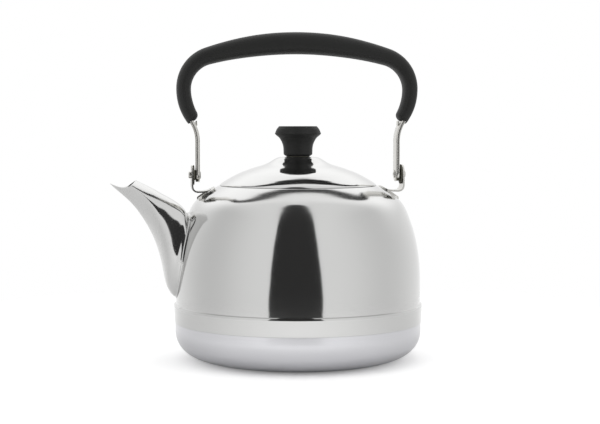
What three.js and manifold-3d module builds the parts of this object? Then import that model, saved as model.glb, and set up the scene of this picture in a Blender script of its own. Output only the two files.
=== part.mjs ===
// Stovetop kettle of polished stainless sheet, standing on its flat pan at z = 0.
// The spout points along -X, and the bail swings about a pivot line parallel to X.
// Sizes are in millimetres, with +Z up and the origin at the centre of the pan's underside.

import * as THREE from 'three';
import { mergeVertices } from 'three/addons/utils/BufferGeometryUtils.js';
import Module from 'manifold-3d';

// Sheet and fits
const sheet = 0.7;
const fit = 0.3;
const flatFit = 0.1;
const overrun = 5;

// Pan under the body
const panCornerHeight = 24;
const panCornerWidth = 34;
const panCornerPowerShare = 2.35;

// Body wall, swaged band, shoulder and rolled mouth
const wallRadius = 93.5;
const bandBottom = 29.4;
const bandStep = 1.6;
const bandHeight = 11;
const flareHeight = 2.8;
const shoulderStart = 59.5;
const mouthHeight = 132.9;
const mouthRadiusShare = 0.6139;
const mouthRoll = 2.5;
const mouthNeck = 5.5;
const shoulderEndSlope = 27.9;

// Spout
const spoutFoot = 48.5;
const tipAboveMouth = 2.2;
const spoutReach = 49.3;
const spoutHalfWidth = 20.7;
const spoutEggShare = 0.1;
const spoutFlange = 1.8;
const pourLedge = 3;
const lipDip = 3;
const lipLengthShare = 0.39;

// Lid and its locating collar
const lidOverlap = 2.5;
const lidRise = 21.5;
const collarGap = 0.8;
const collarDepth = 9;
const collarFlange = 6;

// Knob and its fastener
const knobHeight = 22.6;
const knobRadius = 17.7;
const seatWasherRadius = 9;
const seatWasherThick = 0.6;
const insertRadius = 4;
const insertHeight = 10;
const screwRadius = 2;
const screwHeadRadius = 3.8;
const screwHeadHeight = 2.2;
const screwReach = 9;
const screwCrownShare = 0.7;
const screwWasherRadius = 6;
const screwWasherThick = 0.8;

// Ears on the shoulder
const lidToFoot = 4.5;
const footLength = 12.4;
const footWidth = 24;
const footCorner = 3;
const footNeck = 3.8;
const earSheet = 1.2;
const tabWidth = 15;
const tabBend = 4;
const tongueRun = 1.8;
const pivotRise = 12.78;

// Pivot stack, from the channel's web outwards
const footToArm = 10.9;
const bushFlangeThick = 1.6;
const bushNeckLength = 0.95;
const bushNeckRadius = 3.85;
const discRadius = 7.5;
const discThick = 0.8;
const rivetRadius = 2;
const rivetHeadRadius = 2.6;
const rivetHeadHeight = 1.9;
const rivetCollarRadius = 3;
const rivetCollarThick = 0.5;
const rivetBoreRadius = 1.2;
const rivetBoreDepth = 4;

// Bail strap, a U channel bent to an arch
const channelWidth = 13;
const channelDepth = 2.8;
const channelSheet = 1;
const channelCutback = 2.8;
const channelTail = 5.5;
const armSlant = 7;
const strapOffset = 1.6;
const lugDepth = 2;
const lugHeight = 3.6;
const lugWidth = 6;

// Grip, a three-centred arch above the pivot line
const gripRise = 99.9;
const gripFlare = 10.4;
const crownRadius = 240;
const cornerRadius = 26;
const legRadius = 40;
const legSweepDegrees = 30;
const strapSweepDegrees = 29;
const gripThick = 16.8;
const gripWidth = 21;
const gripEndRound = 2;
const gripPowerShare = 2.4;

// Facets
const roundSides = 52;
const lidSides = 36;
const knobSides = 20;
const smallSides = 16;
const cornerSteps = 6;
const rollSteps = 3;
const lipSteps = 14;
const spoutSides = 20;
const spoutSteps = 13;
const gripSides = 14;
const arcStepDegrees = 10;
const crownStepDegrees = 5;

// Places that several pieces share
const quarter = Math.PI / 2;
const rightAngle = 90;
const halfTurn = 180;
const bandRadius = wallRadius + bandStep;
const mouthRadius = wallRadius * mouthRadiusShare;
const bandTop = bandBottom + bandHeight;
const panRadius = bandRadius - sheet - fit;
const spoutRise = mouthHeight + tipAboveMouth - spoutFoot;
const lidSeat = mouthHeight + fit;
const lidRadius = mouthRadius + lidOverlap;
const collarRadius = mouthRadius - collarGap;
const footInner = lidRadius + lidToFoot;
const footOuter = footInner + footLength;
const tongueStart = footInner + footNeck;
const armInner = footInner + footToArm;
const armCentre = armInner + channelDepth / 2;
const bushInner = armInner + channelSheet + fit;
const discInner = bushInner + bushFlangeThick + bushNeckLength + fit;
const tabInner = discInner + discThick + fit;
const tabCentre = tabInner + earSheet / 2;
const tabOuter = tabInner + earSheet;
const rivetBore = rivetRadius + fit;
const screwBore = screwRadius + fit;
const knobSeat = lidRise + flatFit + seatWasherThick + flatFit;

const wasm = await Module();
wasm.setup();

// Turns a closed geometry into a solid that can be joined and cut
function solid(geometry) {
  const bare = new THREE.BufferGeometry();
  bare.setAttribute('position', geometry.getAttribute('position').clone());
  if (geometry.index) bare.setIndex(geometry.index.clone());
  const merged = mergeVertices(bare);
  const corners = merged.index.array;
  const kept = [];
  for (let i = 0; i < corners.length; i += 3) {
    const [a, b, c] = [corners[i], corners[i + 1], corners[i + 2]];
    if (a !== b && b !== c && c !== a) kept.push(a, b, c);
  }
  return new wasm.Manifold(new wasm.Mesh({
    numProp: 3,
    vertProperties: Float32Array.from(merged.getAttribute('position').array),
    triVerts: Uint32Array.from(kept),
  }));
}

// Gives a solid back as a geometry
function facets(body) {
  const mesh = body.getMesh();
  const geometry = new THREE.BufferGeometry();
  geometry.setAttribute('position', new THREE.BufferAttribute(mesh.vertProperties, mesh.numProp));
  geometry.setIndex(new THREE.BufferAttribute(mesh.triVerts, 1));
  geometry.computeVertexNormals();
  return geometry;
}

// Revolves an outline of [radius, height] points about Z, with its inside on the left
function revolve(outline, sides) {
  const points = outline.map(([radius, height]) => new THREE.Vector2(radius, height));
  return new THREE.LatheGeometry(points, sides).rotateX(quarter);
}

// The same about X, with the heights measured along +X
function revolveAlongX(outline, sides) {
  return revolve(outline, sides).rotateY(quarter);
}

// Extrudes an outline of [x, z] points along Y, centred on y = 0
function extrudeAcross(outline, width) {
  const shape = new THREE.Shape(outline.map(([x, z]) => new THREE.Vector2(x, z)));
  const block = new THREE.ExtrudeGeometry(shape, { depth: width, bevelEnabled: false });
  return block.rotateX(quarter).translate(0, width / 2, 0);
}

// A box from its low corner to its high corner
function boxBetween(low, high) {
  const size = high.map((value, axis) => value - low[axis]);
  const middle = high.map((value, axis) => (value + low[axis]) / 2);
  return new THREE.BoxGeometry(...size).translate(...middle);
}

// A rod along X between two places
function rodAlongX(radius, from, to, height) {
  const rod = new THREE.CylinderGeometry(radius, radius, to - from, smallSides);
  return rod.rotateZ(quarter).translate((from + to) / 2, 0, height);
}

// Moves an open outline to the left of its direction, with mitred corners
function offsetOutline(outline, distance) {
  return outline.map((point, i) => {
    const before = outline[Math.max(i - 1, 0)];
    const after = outline[Math.min(i + 1, outline.length - 1)];
    const into = new THREE.Vector2(point[0] - before[0], point[1] - before[1]);
    const away = new THREE.Vector2(after[0] - point[0], after[1] - point[1]);
    if (i === 0) into.copy(away);
    if (i === outline.length - 1) away.copy(into);
    into.normalize();
    away.normalize();
    const mean = into.clone().add(away).normalize();
    const reach = distance / mean.dot(into);
    return [point[0] - mean.y * reach, point[1] + mean.x * reach];
  });
}

// Closes an outline and its offset into the section of a bent sheet
function sheetSection(outline, thickness) {
  return [...outline, ...offsetOutline(outline, thickness).reverse(), outline[0]];
}

// Points of an arc in the section plane, with angles in degrees
function arc(centre, radius, from, to, steps) {
  return Array.from({ length: steps + 1 }, (_, i) => {
    const angle = THREE.MathUtils.degToRad(from + ((to - from) * i) / steps);
    return [centre[0] + radius * Math.cos(angle), centre[1] + radius * Math.sin(angle)];
  });
}

// Height of an outline at a radius, between the two points that span it
function heightAt(outline, radius) {
  for (let i = 1; i < outline.length; i += 1) {
    const [[r0, z0], [r1, z1]] = [outline[i - 1], outline[i]];
    if (r0 !== r1 && (r0 - radius) * (r1 - radius) <= 0) {
      return z0 + ((radius - r0) / (r1 - r0)) * (z1 - z0);
    }
  }
  return outline.at(-1)[1];
}

// Radius of an outline at a height
function radiusAt(outline, height) {
  return heightAt(outline.map(([radius, z]) => [z, radius]), height);
}

// Skins a row of closed rings of points and caps both ends. Rings follow an outline of
// [across, outward] points that runs clockwise
function loft(rings, capOutline) {
  const count = rings[0].length;
  const index = [];
  for (let r = 0; r + 1 < rings.length; r += 1) {
    for (let i = 0; i < count; i += 1) {
      const [a, b] = [r * count + i, r * count + ((i + 1) % count)];
      const [c, d] = [a + count, b + count];
      index.push(a, b, d, a, d, c);
    }
  }
  const last = (rings.length - 1) * count;
  const flat = capOutline.map(([u, v]) => new THREE.Vector2(u, v));
  for (const [a, b, c] of THREE.ShapeUtils.triangulateShape(flat, [])) {
    index.push(a, b, c, last + a, last + c, last + b);
  }
  const geometry = new THREE.BufferGeometry();
  const positions = rings.flat(2);
  geometry.setAttribute('position', new THREE.Float32BufferAttribute(positions, 3));
  geometry.setIndex(index);
  return geometry;
}

// Points of a superellipse of unit half sizes, whose upper half has its own power
function superellipse(sides, lowerPower, upperPower) {
  return Array.from({ length: sides }, (_, i) => {
    const angle = (2 * Math.PI * i) / sides;
    const [across, along] = [Math.sin(angle), Math.cos(angle)];
    const power = along > 0 ? upperPower : lowerPower;
    const bend = (value) => Math.sign(value) * Math.abs(value) ** (2 / power);
    return [bend(across), bend(along)];
  });
}

// Shoulder of the body, from the mouth's roll down to the top of the upright wall, as shares of
// its reach and rise
const shoulderShares = [
  [0, 1], [0.227, 0.941], [0.446, 0.877], [0.583, 0.815], [0.683, 0.733], [0.765, 0.641],
  [0.84, 0.541], [0.905, 0.428], [0.955, 0.302], [0.987, 0.163], [1, 0],
];
const rollCentre = [mouthRadius + mouthRoll, mouthHeight - mouthRoll];
const mouthArc = arc(rollCentre, mouthRoll, rightAngle - shoulderEndSlope, halfTurn, rollSteps);
const [shoulderEnd] = mouthArc;
const shoulder = shoulderShares.map(([reach, rise]) => [
  shoulderEnd[0] + reach * (wallRadius - shoulderEnd[0]),
  shoulderStart + rise * (shoulderEnd[1] - shoulderStart),
]).reverse();

// Outside of the body, from the band's lower edge to the end of the shoulder
const bodyOutline = [
  [bandRadius, bandBottom],
  [bandRadius, bandTop],
  [wallRadius, bandTop + flareHeight],
  ...shoulder,
];

// Everything within the body's outside, grown by a distance
function bodyEnvelope(growth) {
  const outside = offsetOutline(bodyOutline, -growth);
  const section = [[0, bandBottom], ...outside, [0, mouthHeight + growth]];
  return solid(revolve(section, roundSides));
}

// Body: band, wall and shoulder in one drawn sheet, with its mouth rolled into a neck
function bodyShell() {
  const neckEnd = [mouthRadius, rollCentre[1] - mouthNeck];
  const outline = [...bodyOutline, ...mouthArc.slice(1), neckEnd];
  const shell = solid(revolve(sheetSection(outline, sheet), roundSides));
  return facets(shell.subtract(spoutBody(sheet + pourLedge)));
}

// Pan: flat base with a superelliptic corner and a wall that slips up inside the band
function basePan() {
  const flatRadius = panRadius - panCornerWidth;
  const corner = Array.from({ length: cornerSteps + 1 }, (_, i) => {
    const angle = (quarter * i) / cornerSteps;
    const outward = Math.sin(angle) ** (2 / panCornerPowerShare);
    const upward = 1 - Math.cos(angle) ** (2 / panCornerPowerShare);
    return [flatRadius + panCornerWidth * outward, panCornerHeight * upward];
  });
  const outline = [...corner, [panRadius, bandTop - fit]];
  const inside = offsetOutline(outline, sheet).reverse();
  return revolve([[0, 0], ...outline, ...inside, [0, sheet]], roundSides);
}

// Stations of the spout as shares, from inside the body to beyond the lip: the lower line's
// reach and rise, the upper line's reach and rise, the half width, and the section's power
const spoutStationShares = [
  [-0.2, 0.0, -0.17, 0.6, 0.97, 3],
  [0.0, 0.0, 0.0, 0.72, 1.05, 3],
  [0.1, 0.052, 0.065, 0.779, 1.03, 3],
  [0.162, 0.136, 0.156, 0.828, 0.98, 3.2],
  [0.217, 0.292, 0.292, 0.877, 0.89, 2.5],
  [0.292, 0.452, 0.41, 0.913, 0.78, 2.1],
  [0.412, 0.61, 0.511, 0.947, 0.69, 1.9],
  [0.586, 0.768, 0.613, 0.977, 0.59, 1.75],
  [0.753, 0.873, 0.694, 1.0, 0.53, 1.7],
  [0.911, 0.952, 0.775, 1.023, 0.48, 1.65],
  [1.0, 1.0, 0.85, 1.046, 0.45, 1.6],
  [1.1, 1.06, 0.93, 1.08, 0.42, 1.6],
];

// Loft of the spout, drawn in by a distance on every side
function spoutBody(inset) {
  const rootHeight = spoutFoot + spoutStationShares[1][3] * spoutRise;
  const rootRadius = radiusAt(shoulder, rootHeight);
  const place = ([, , , , wide, power], x, z, u, v) => [
    new THREE.Vector3(-wallRadius - x * spoutReach, spoutFoot + z * spoutRise, power),
    new THREE.Vector3(-rootRadius - u * spoutReach, spoutFoot + v * spoutRise, wide),
  ];
  const pairs = spoutStationShares.map((row) => place(row, row[0], row[1], row[2], row[3]));
  const lower = new THREE.CatmullRomCurve3(pairs.map(([point]) => point));
  const upper = new THREE.CatmullRomCurve3(pairs.map(([, point]) => point));
  const rings = Array.from({ length: spoutSteps + 1 }, (_, i) => {
    const low = lower.getPoint(i / spoutSteps);
    const high = upper.getPoint(i / spoutSteps);
    return spoutRing(low, high, high.z * spoutHalfWidth, low.z, inset);
  });
  return solid(loft(rings, superellipse(spoutSides, 2, 2)));
}

// One ring of the spout, between its lower and upper point in the XZ plane
function spoutRing(low, high, halfWidth, power, inset) {
  const middle = [(low.x + high.x) / 2, (low.y + high.y) / 2];
  const spread = [(high.x - low.x) / 2, (high.y - low.y) / 2];
  const keep = 1 - inset / Math.hypot(...spread);
  return superellipse(spoutSides, Math.min(power, 2), power).map(([across, along]) => {
    const egg = 1 + spoutEggShare * along;
    const y = across * (halfWidth * egg - inset);
    return [middle[0] + spread[0] * along * keep, y, middle[1] + spread[1] * along * keep];
  });
}

// Everything above the spout's open lip, which dips between its tip and its heel
function aboveLip() {
  const tip = [-wallRadius - spoutReach, spoutFoot + spoutRise];
  const lipShares = [[-0.35, 1], [0, 0], [0.3, -0.8], [0.62, -1], [0.85, -0.2], [1.02, 0.8], [1.4, 2]];
  const lipLength = spoutReach * lipLengthShare;
  const points = lipShares.map(([x, z]) => new THREE.Vector2(tip[0] + x * lipLength, tip[1] + z * lipDip));
  const edge = new THREE.SplineCurve(points).getPoints(lipSteps).map((point) => [point.x, point.y]);
  const top = tip[1] + spoutRise;
  const outline = [...edge, [edge.at(-1)[0], top], [edge[0][0], top]];
  return solid(extrudeAcross(outline, 4 * spoutHalfWidth));
}

// Spout: thin shell trimmed to the body, with a flange on it and an open lip
function spout() {
  const outside = spoutBody(0);
  const flange = spoutBody(-spoutFlange).intersect(bodyEnvelope(fit + sheet));
  const bore = spoutBody(sheet);
  const shell = outside.add(flange).subtract(bore);
  return facets(shell.subtract(bodyEnvelope(fit)).subtract(aboveLip()));
}

// Outside of the lid from its rim to its flat boss, as shares of its radius and rise
const lidShares = [
  [1, 0], [1, 0.019], [0.991, 0.042], [0.978, 0.072], [0.952, 0.128], [0.901, 0.214],
  [0.856, 0.28], [0.755, 0.431], [0.651, 0.558], [0.549, 0.642], [0.447, 0.735], [0.346, 0.86],
  [0.28, 0.963], [0.235, 1],
];
const lidOutline = lidShares.map(([r, z]) => [r * lidRadius, z * lidRise]);

// Lid: domed sheet with a turned-down rim and a flat boss for the knob
function lidDome() {
  return revolve(sheetSection([...lidOutline, [screwBore, lidRise]], sheet), lidSides);
}

// Collar: ring under the lid that drops into the mouth, with a flange along the dome
function lidCollar() {
  const under = offsetOutline(lidOutline, sheet + fit);
  const outline = [collarRadius, collarRadius - collarFlange].map((r) => [r, heightAt(under, r)]);
  outline.unshift([collarRadius, -collarDepth]);
  return revolve(sheetSection(outline, sheet), lidSides);
}

// Flat ring about Z between two heights
function ring(innerRadius, outerRadius, low, high) {
  const section = [[innerRadius, low], [outerRadius, low], [outerRadius, high], [innerRadius, high]];
  return revolve([...section, section[0]], smallSides);
}

// Knob: mushroom head on a waisted neck, hollow below for its threaded insert
function knob() {
  const sideShares = [
    [0.54, 0], [0.62, 0.066], [0.62, 0.26], [0.645, 0.39], [0.75, 0.558], [0.93, 0.71],
    [1, 0.765], [0.995, 0.83], [0.96, 0.92], [0.9, 0.98], [0.82, 1],
  ];
  const side = sideShares.map(([r, z]) => [r * knobRadius, knobSeat + z * knobHeight]);
  const bore = insertRadius + fit;
  const roof = knobSeat + insertHeight + fit;
  const section = [[0, roof], [bore, roof], [bore, knobSeat], ...side, [0, knobSeat + knobHeight]];
  return revolve(section, knobSides);
}

// Screw from inside the lid up into the insert
function knobScrew() {
  const headTop = lidRise - sheet - flatFit - screwWasherThick - flatFit;
  const headLow = headTop - screwHeadHeight;
  const end = knobSeat + screwReach;
  const section = [
    [0, headLow], [screwHeadRadius * screwCrownShare, headLow],
    [screwHeadRadius, headLow + screwHeadHeight / 2], [screwHeadRadius, headTop],
    [screwRadius, headTop], [screwRadius, end], [0, end],
  ];
  return revolve(section, smallSides);
}

// Washer under the screw's head
function knobScrewWasher() {
  const high = lidRise - sheet - flatFit;
  return ring(screwBore, screwWasherRadius, high - screwWasherThick, high);
}

// Centre line of the ear's strip, from inside the foot out to the tab and up
const footMiddle = offsetOutline(shoulder, -(fit + earSheet / 2));
const stripFoot = [tongueStart, heightAt(footMiddle, tongueStart)];
const stripRoot = [tongueStart - earSheet, heightAt(footMiddle, tongueStart - earSheet)];
const stripSlope = (stripRoot[1] - stripFoot[1]) / earSheet;
const stripLow = stripFoot[1] - stripSlope * tongueRun;
const pivotHeight = stripLow + pivotRise;

// Foot of the ear: a patch of sheet that follows the shoulder, slit beside the strip
function earFoot() {
  const low = offsetOutline(shoulder, -fit);
  const shell = solid(revolve(sheetSection(low, -earSheet).reverse(), roundSides));
  const corner = footCorner;
  const [x0, x1, y1] = [footInner, footOuter, footWidth / 2];
  const plan = new THREE.Shape();
  plan.absarc(x1 - corner, y1 - corner, corner, 0, quarter);
  plan.absarc(x0 + corner, y1 - corner, corner, quarter, 2 * quarter);
  plan.absarc(x0 + corner, corner - y1, corner, 2 * quarter, 3 * quarter);
  plan.absarc(x1 - corner, corner - y1, corner, 3 * quarter, 4 * quarter);
  const tall = { depth: mouthHeight, bevelEnabled: false, curveSegments: rollSteps };
  const patch = shell.intersect(solid(new THREE.ExtrudeGeometry(plan, tall).translate(0, 0, bandTop)));
  const slit = tabWidth / 2 + fit;
  const high = mouthHeight + overrun;
  return patch.subtract(solid(boxBetween([tongueStart, -slit, bandTop], [x1 + overrun, slit, high])));
}

// Strip of the ear: levels out from the foot, turns up to the tab and ends in a half round
function earStrip() {
  const level = new THREE.QuadraticBezierCurve(
    new THREE.Vector2(...stripFoot),
    new THREE.Vector2(tongueStart + tongueRun, stripLow),
    new THREE.Vector2(tabCentre - tabBend, stripLow),
  );
  const bendCentre = [tabCentre - tabBend, stripLow + tabBend];
  const centreLine = [
    stripRoot,
    ...level.getPoints(rollSteps).map((point) => [point.x, point.y]),
    ...arc(bendCentre, tabBend, -rightAngle, 0, rollSteps).slice(1),
    [tabCentre, pivotHeight + tabWidth / 2],
  ];
  const section = [
    ...offsetOutline(centreLine, -earSheet / 2),
    ...offsetOutline(centreLine, earSheet / 2).reverse(),
  ];
  const strip = solid(extrudeAcross(section, tabWidth));
  const [x0, x1] = [tabInner - overrun, tabOuter + overrun];
  const half = tabWidth / 2;
  const crown = solid(boxBetween([x0, -tabWidth, pivotHeight], [x1, tabWidth, pivotHeight + tabWidth]));
  const round = solid(rodAlongX(half, x0 - overrun, x1 + overrun, pivotHeight));
  return strip.subtract(crown.subtract(round));
}

// Ear: foot and strip in one piece, bored for the rivet
function ear() {
  const bore = solid(rodAlongX(rivetBore, armInner, tabOuter + overrun, pivotHeight));
  return facets(earFoot().add(earStrip()).subtract(bore));
}

// Rivet: formed head outside the tab, flared collar and drilled end inside the web
function rivet() {
  const start = armInner - fit - rivetCollarThick;
  const headStart = tabOuter + flatFit;
  const end = headStart + rivetHeadHeight;
  const section = [
    [0, start + rivetBoreDepth], [rivetBoreRadius, start + rivetBoreDepth], [rivetBoreRadius, start],
    [rivetCollarRadius, start], [rivetCollarRadius, start + rivetCollarThick],
    [rivetRadius, start + rivetCollarThick], [rivetRadius, headStart],
    [rivetHeadRadius, headStart], [rivetHeadRadius, end - fit], [rivetHeadRadius - fit, end], [0, end],
  ];
  return revolveAlongX(section, smallSides);
}

// Bush: flange inside the channel and a neck that reaches out to the disc
function bush() {
  const flangeRadius = channelWidth / 2 - channelSheet - fit;
  const step = bushInner + bushFlangeThick;
  const end = step + bushNeckLength;
  const section = [
    [rivetBore, bushInner], [flangeRadius, bushInner], [flangeRadius, step],
    [bushNeckRadius, step], [bushNeckRadius, end], [rivetBore, end], [rivetBore, bushInner],
  ];
  return revolveAlongX(section, smallSides);
}

// Disc between the bush and the tab, whose drag keeps the bail where it is put
function frictionDisc() {
  return ring(rivetBore, discRadius, discInner, discInner + discThick).rotateY(quarter);
}

// Centres of the arch, in a plane whose height is measured from the pivot line
const gripHalfSpan = armCentre + gripFlare;
const cornerX = gripHalfSpan - cornerRadius;
const crownHalf = THREE.MathUtils.radToDeg(Math.asin(cornerX / (crownRadius - cornerRadius)));
const crownZ = gripRise - crownRadius;
const cornerZ = crownZ + Math.sqrt((crownRadius - cornerRadius) ** 2 - cornerX ** 2);
const legX = gripHalfSpan - legRadius;
const strapSweep = THREE.MathUtils.degToRad(strapSweepDegrees);
const sweepBeyond = THREE.MathUtils.degToRad(legSweepDegrees) - strapSweep;
const lugDrop = legRadius * sweepBeyond + gripEndRound + fit;

// Stations [x, z, angle of the outward normal] along an arc of the arch
function arcStations(x, z, radius, from, to, step, side = 1) {
  const steps = Math.ceil(Math.abs(to - from) / step);
  return Array.from({ length: steps + 1 }, (_, i) => {
    const angle = THREE.MathUtils.degToRad(from + ((to - from) * i) / steps);
    return [x + side * radius * Math.cos(angle), z + side * radius * Math.sin(angle), angle];
  });
}

// The arch from the +X leg's end over the crown to the -X leg's end, moved out by an offset,
// with legs that turn in by a sweep in degrees
function archStations(offset, sweep) {
  const corner = (x, from, to) =>
    arcStations(x, cornerZ, cornerRadius + offset, from, to, arcStepDegrees);
  const leg = (x, from, to) => arcStations(x, cornerZ, legRadius + offset, from, to, arcStepDegrees);
  const crownFrom = rightAngle - crownHalf;
  const crownTo = rightAngle + crownHalf;
  return [
    ...leg(legX, -sweep, 0),
    ...corner(cornerX, 0, crownFrom).slice(1),
    ...arcStations(0, crownZ, crownRadius + offset, crownFrom, crownTo, crownStepDegrees).slice(1),
    ...corner(-cornerX, crownTo, halfTurn).slice(1),
    ...leg(-legX, halfTurn, halfTurn + sweep).slice(1),
  ];
}

// A station moved along the path, away from the arch
function beyond([x, z, angle], distance, side) {
  return [x + side * distance * Math.sin(angle), z - side * distance * Math.cos(angle), angle];
}

// Ring of an outline [across, outward] set at a station
function ringAt([x, z, angle], outline) {
  return outline.map(([across, outward]) => [
    x + outward * Math.cos(angle),
    across,
    z + outward * Math.sin(angle),
  ]);
}

// Stations of one arm, from its lower end up to the arch, for the +X side
function armStations(arch) {
  const [endX, endZ] = arch;
  const slant = armSlant * Math.sin(strapSweep);
  const bendRadius = (endX - slant - armCentre) / (1 - Math.cos(strapSweep));
  const bendZ = endZ - armSlant * Math.cos(strapSweep) - bendRadius * Math.sin(strapSweep);
  const bendX = armCentre + bendRadius;
  return [
    [armCentre, -channelWidth / 2, 0],
    ...arcStations(bendX, bendZ, bendRadius, 0, -strapSweepDegrees, arcStepDegrees, -1),
  ];
}

// Strap: one channel from pivot to pivot through the grip, with a lug under each grip end
function bailStrap() {
  const [half, deep, wall] = [channelWidth / 2, channelDepth / 2, channelSheet];
  const channel = [
    [-half, -deep], [-half, deep], [wall - half, deep], [wall - half, wall - deep],
    [half - wall, wall - deep], [half - wall, deep], [half, deep], [half, -deep],
  ];
  const arch = archStations(strapOffset, strapSweepDegrees);
  const arm = armStations(arch[0]);
  const farArm = arm.map(([x, z, angle]) => [-x, z, Math.PI - angle]).reverse();
  const rings = [...arm, ...arch, ...farArm].map((station) => ringAt(station, channel));
  let strap = solid(loft(rings, channel));
  for (const side of [1, -1]) {
    const cuts = armCuts().add(solid(rodAlongX(rivetBore, armInner - overrun, tabInner, 0)));
    const lug = gripLug(beyond(arch[0], lugDrop, 1));
    const turned = (body) => (side > 0 ? body : body.rotate([0, 0, halfTurn]));
    strap = strap.add(turned(lug)).subtract(turned(cuts));
  }
  return facets(strap);
}

// What is cut from an arm's lower end: the corners of the web and the ends of the flanges
function armCuts() {
  const [x0, x1] = [armInner - overrun, armInner + channelDepth + overrun];
  const half = channelWidth / 2;
  const low = -channelWidth;
  const corners = solid(boxBetween([x0, -channelWidth, low], [x1, channelWidth, half - channelTail]));
  const round = solid(rodAlongX(half, x0 - overrun, x1 + overrun, half - channelTail));
  const web = armInner + channelSheet;
  const flanges = solid(boxBetween([web, -channelWidth, low], [x1, channelWidth, -channelCutback]));
  return corners.subtract(round).add(flanges);
}

// Lug on the inner side of the web that stops the grip's end
function gripLug([x, z]) {
  const inner = -channelDepth / 2;
  const block = boxBetween(
    [inner - lugDepth, -lugWidth / 2, -lugHeight],
    [inner + channelSheet / 2, lugWidth / 2, 0],
  );
  return solid(block.rotateY(strapSweep).translate(x, 0, z));
}

// Share of the grip's full thickness against the share of the way from its crown to its end
const gripThickShares = [
  [0, 1], [0.28, 0.95], [0.42, 0.87], [0.55, 0.79], [0.7, 0.71], [0.83, 0.655], [0.93, 0.65], [1, 0.62],
];
const gripWideShares = [[0, 1], [0.57, 0.95], [0.83, 0.92], [1, 0.8]];
const gripCapShares = [[0, 1], [0.6, 0.92], [1, 0.75]];

// Grip: moulded arch of superelliptic section over the strap, with a slot right through it
function grip() {
  const arch = archStations(0, legSweepDegrees);
  const lengths = arch.map(([x, z], i) => (i ? Math.hypot(x - arch[i - 1][0], z - arch[i - 1][1]) : 0));
  const total = lengths.reduce((sum, length) => sum + length, 0);
  const unit = superellipse(gripSides, gripPowerShare, gripPowerShare);
  const section = (away, scale) => {
    const thick = heightAt(gripThickShares, away) * gripThick * scale;
    const wide = heightAt(gripWideShares, away) * gripWidth * scale;
    return unit.map(([across, outward]) => [(across * wide) / 2, (outward * thick) / 2]);
  };
  let walked = 0;
  const rings = arch.map((station, i) => {
    walked += lengths[i];
    return ringAt(station, section(Math.abs((2 * walked) / total - 1), 1));
  });
  const cap = (station, side) => gripCapShares.slice(1).map(([along, scale]) =>
    ringAt(beyond(station, along * gripEndRound, side), section(1, scale)));
  const whole = [...cap(arch[0], 1).reverse(), ...rings, ...cap(arch.at(-1), -1)];
  return facets(solid(loft(whole, unit)).subtract(gripSlot()));
}

// Slot through the grip, a fit larger than the strap on every side
function gripSlot() {
  const [half, deep] = [channelWidth / 2 + fit, channelDepth / 2 + fit];
  const outline = [[-half, -deep], [-half, deep], [half, deep], [half, -deep]];
  const arch = archStations(strapOffset, strapSweepDegrees);
  const ends = [beyond(arch[0], armSlant + overrun, 1), beyond(arch.at(-1), armSlant + overrun, -1)];
  return solid(loft([ends[0], ...arch, ends[1]].map((station) => ringAt(station, outline)), outline));
}

// Finishes
const finishes = {
  polished: { color: 0xd0d0ce, roughness: 0.08, metalness: 1 },
  satin: { color: 0xbfc0c8, roughness: 0.3, metalness: 1 },
  plated: { color: 0xc4c3bd, roughness: 0.25, metalness: 1 },
  resin: { color: 0x1c1c1c, roughness: 0.65, metalness: 0 },
  fibre: { color: 0x23221f, roughness: 0.8, metalness: 0 },
  brass: { color: 0xb8954f, roughness: 0.35, metalness: 1 },
};

// A named piece in its own finish
function piece(name, geometry, finish) {
  const mesh = new THREE.Mesh(geometry, new THREE.MeshStandardMaterial(finishes[finish]));
  mesh.name = name;
  return mesh;
}

// Ear and pivot pieces of one side, built at +X and turned to their place
function pivotSide(side, turn) {
  const stack = new THREE.Group();
  stack.position.z = pivotHeight;
  stack.add(
    piece(`${side}_rivet`, rivet(), 'plated'),
    piece(`${side}_bush`, bush(), 'fibre'),
    piece(`${side}_friction_disc`, frictionDisc(), 'fibre'),
  );
  const group = new THREE.Group();
  group.rotation.z = turn;
  group.add(piece(`${side}_ear`, ear(), 'plated'), stack);
  return group;
}

// Lid with its collar, knob and fastener, seated on the mouth
function lidGroup() {
  const group = new THREE.Group();
  group.position.z = lidSeat;
  const washerLow = lidRise + flatFit;
  const seatWasher = ring(screwBore, seatWasherRadius, washerLow, washerLow + seatWasherThick);
  group.add(
    piece('lid_dome', lidDome(), 'polished'),
    piece('lid_collar', lidCollar(), 'satin'),
    piece('knob', knob(), 'resin'),
    piece('knob_seat_washer', seatWasher, 'fibre'),
    piece('knob_insert', ring(screwBore, insertRadius, knobSeat, knobSeat + insertHeight), 'brass'),
    piece('knob_screw', knobScrew(), 'plated'),
    piece('knob_screw_washer', knobScrewWasher(), 'plated'),
  );
  return group;
}

// Bail, standing upright on its pivots
function bailGroup() {
  const group = new THREE.Group();
  group.position.z = pivotHeight;
  group.add(piece('bail_strap', bailStrap(), 'plated'), piece('grip', grip(), 'resin'));
  return group;
}

const kettle = new THREE.Group();
kettle.add(
  piece('body_shell', bodyShell(), 'polished'),
  piece('base_pan', basePan(), 'satin'),
  piece('spout', spout(), 'polished'),
  pivotSide('front', Math.PI),
  pivotSide('rear', 0),
  lidGroup(),
  bailGroup(),
);

export default kettle;
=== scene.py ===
# %% [markdown]
# A stovetop kettle of polished sheet, standing on a white table in a white photographer's tent.
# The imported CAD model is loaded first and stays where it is. Each of its pieces is then either
# dressed with a finish, or replaced by a finer surface that sits in the same place, because a
# mirror shows every flat facet of a plain CAD solid.

# %% Load the frame
import math

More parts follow.
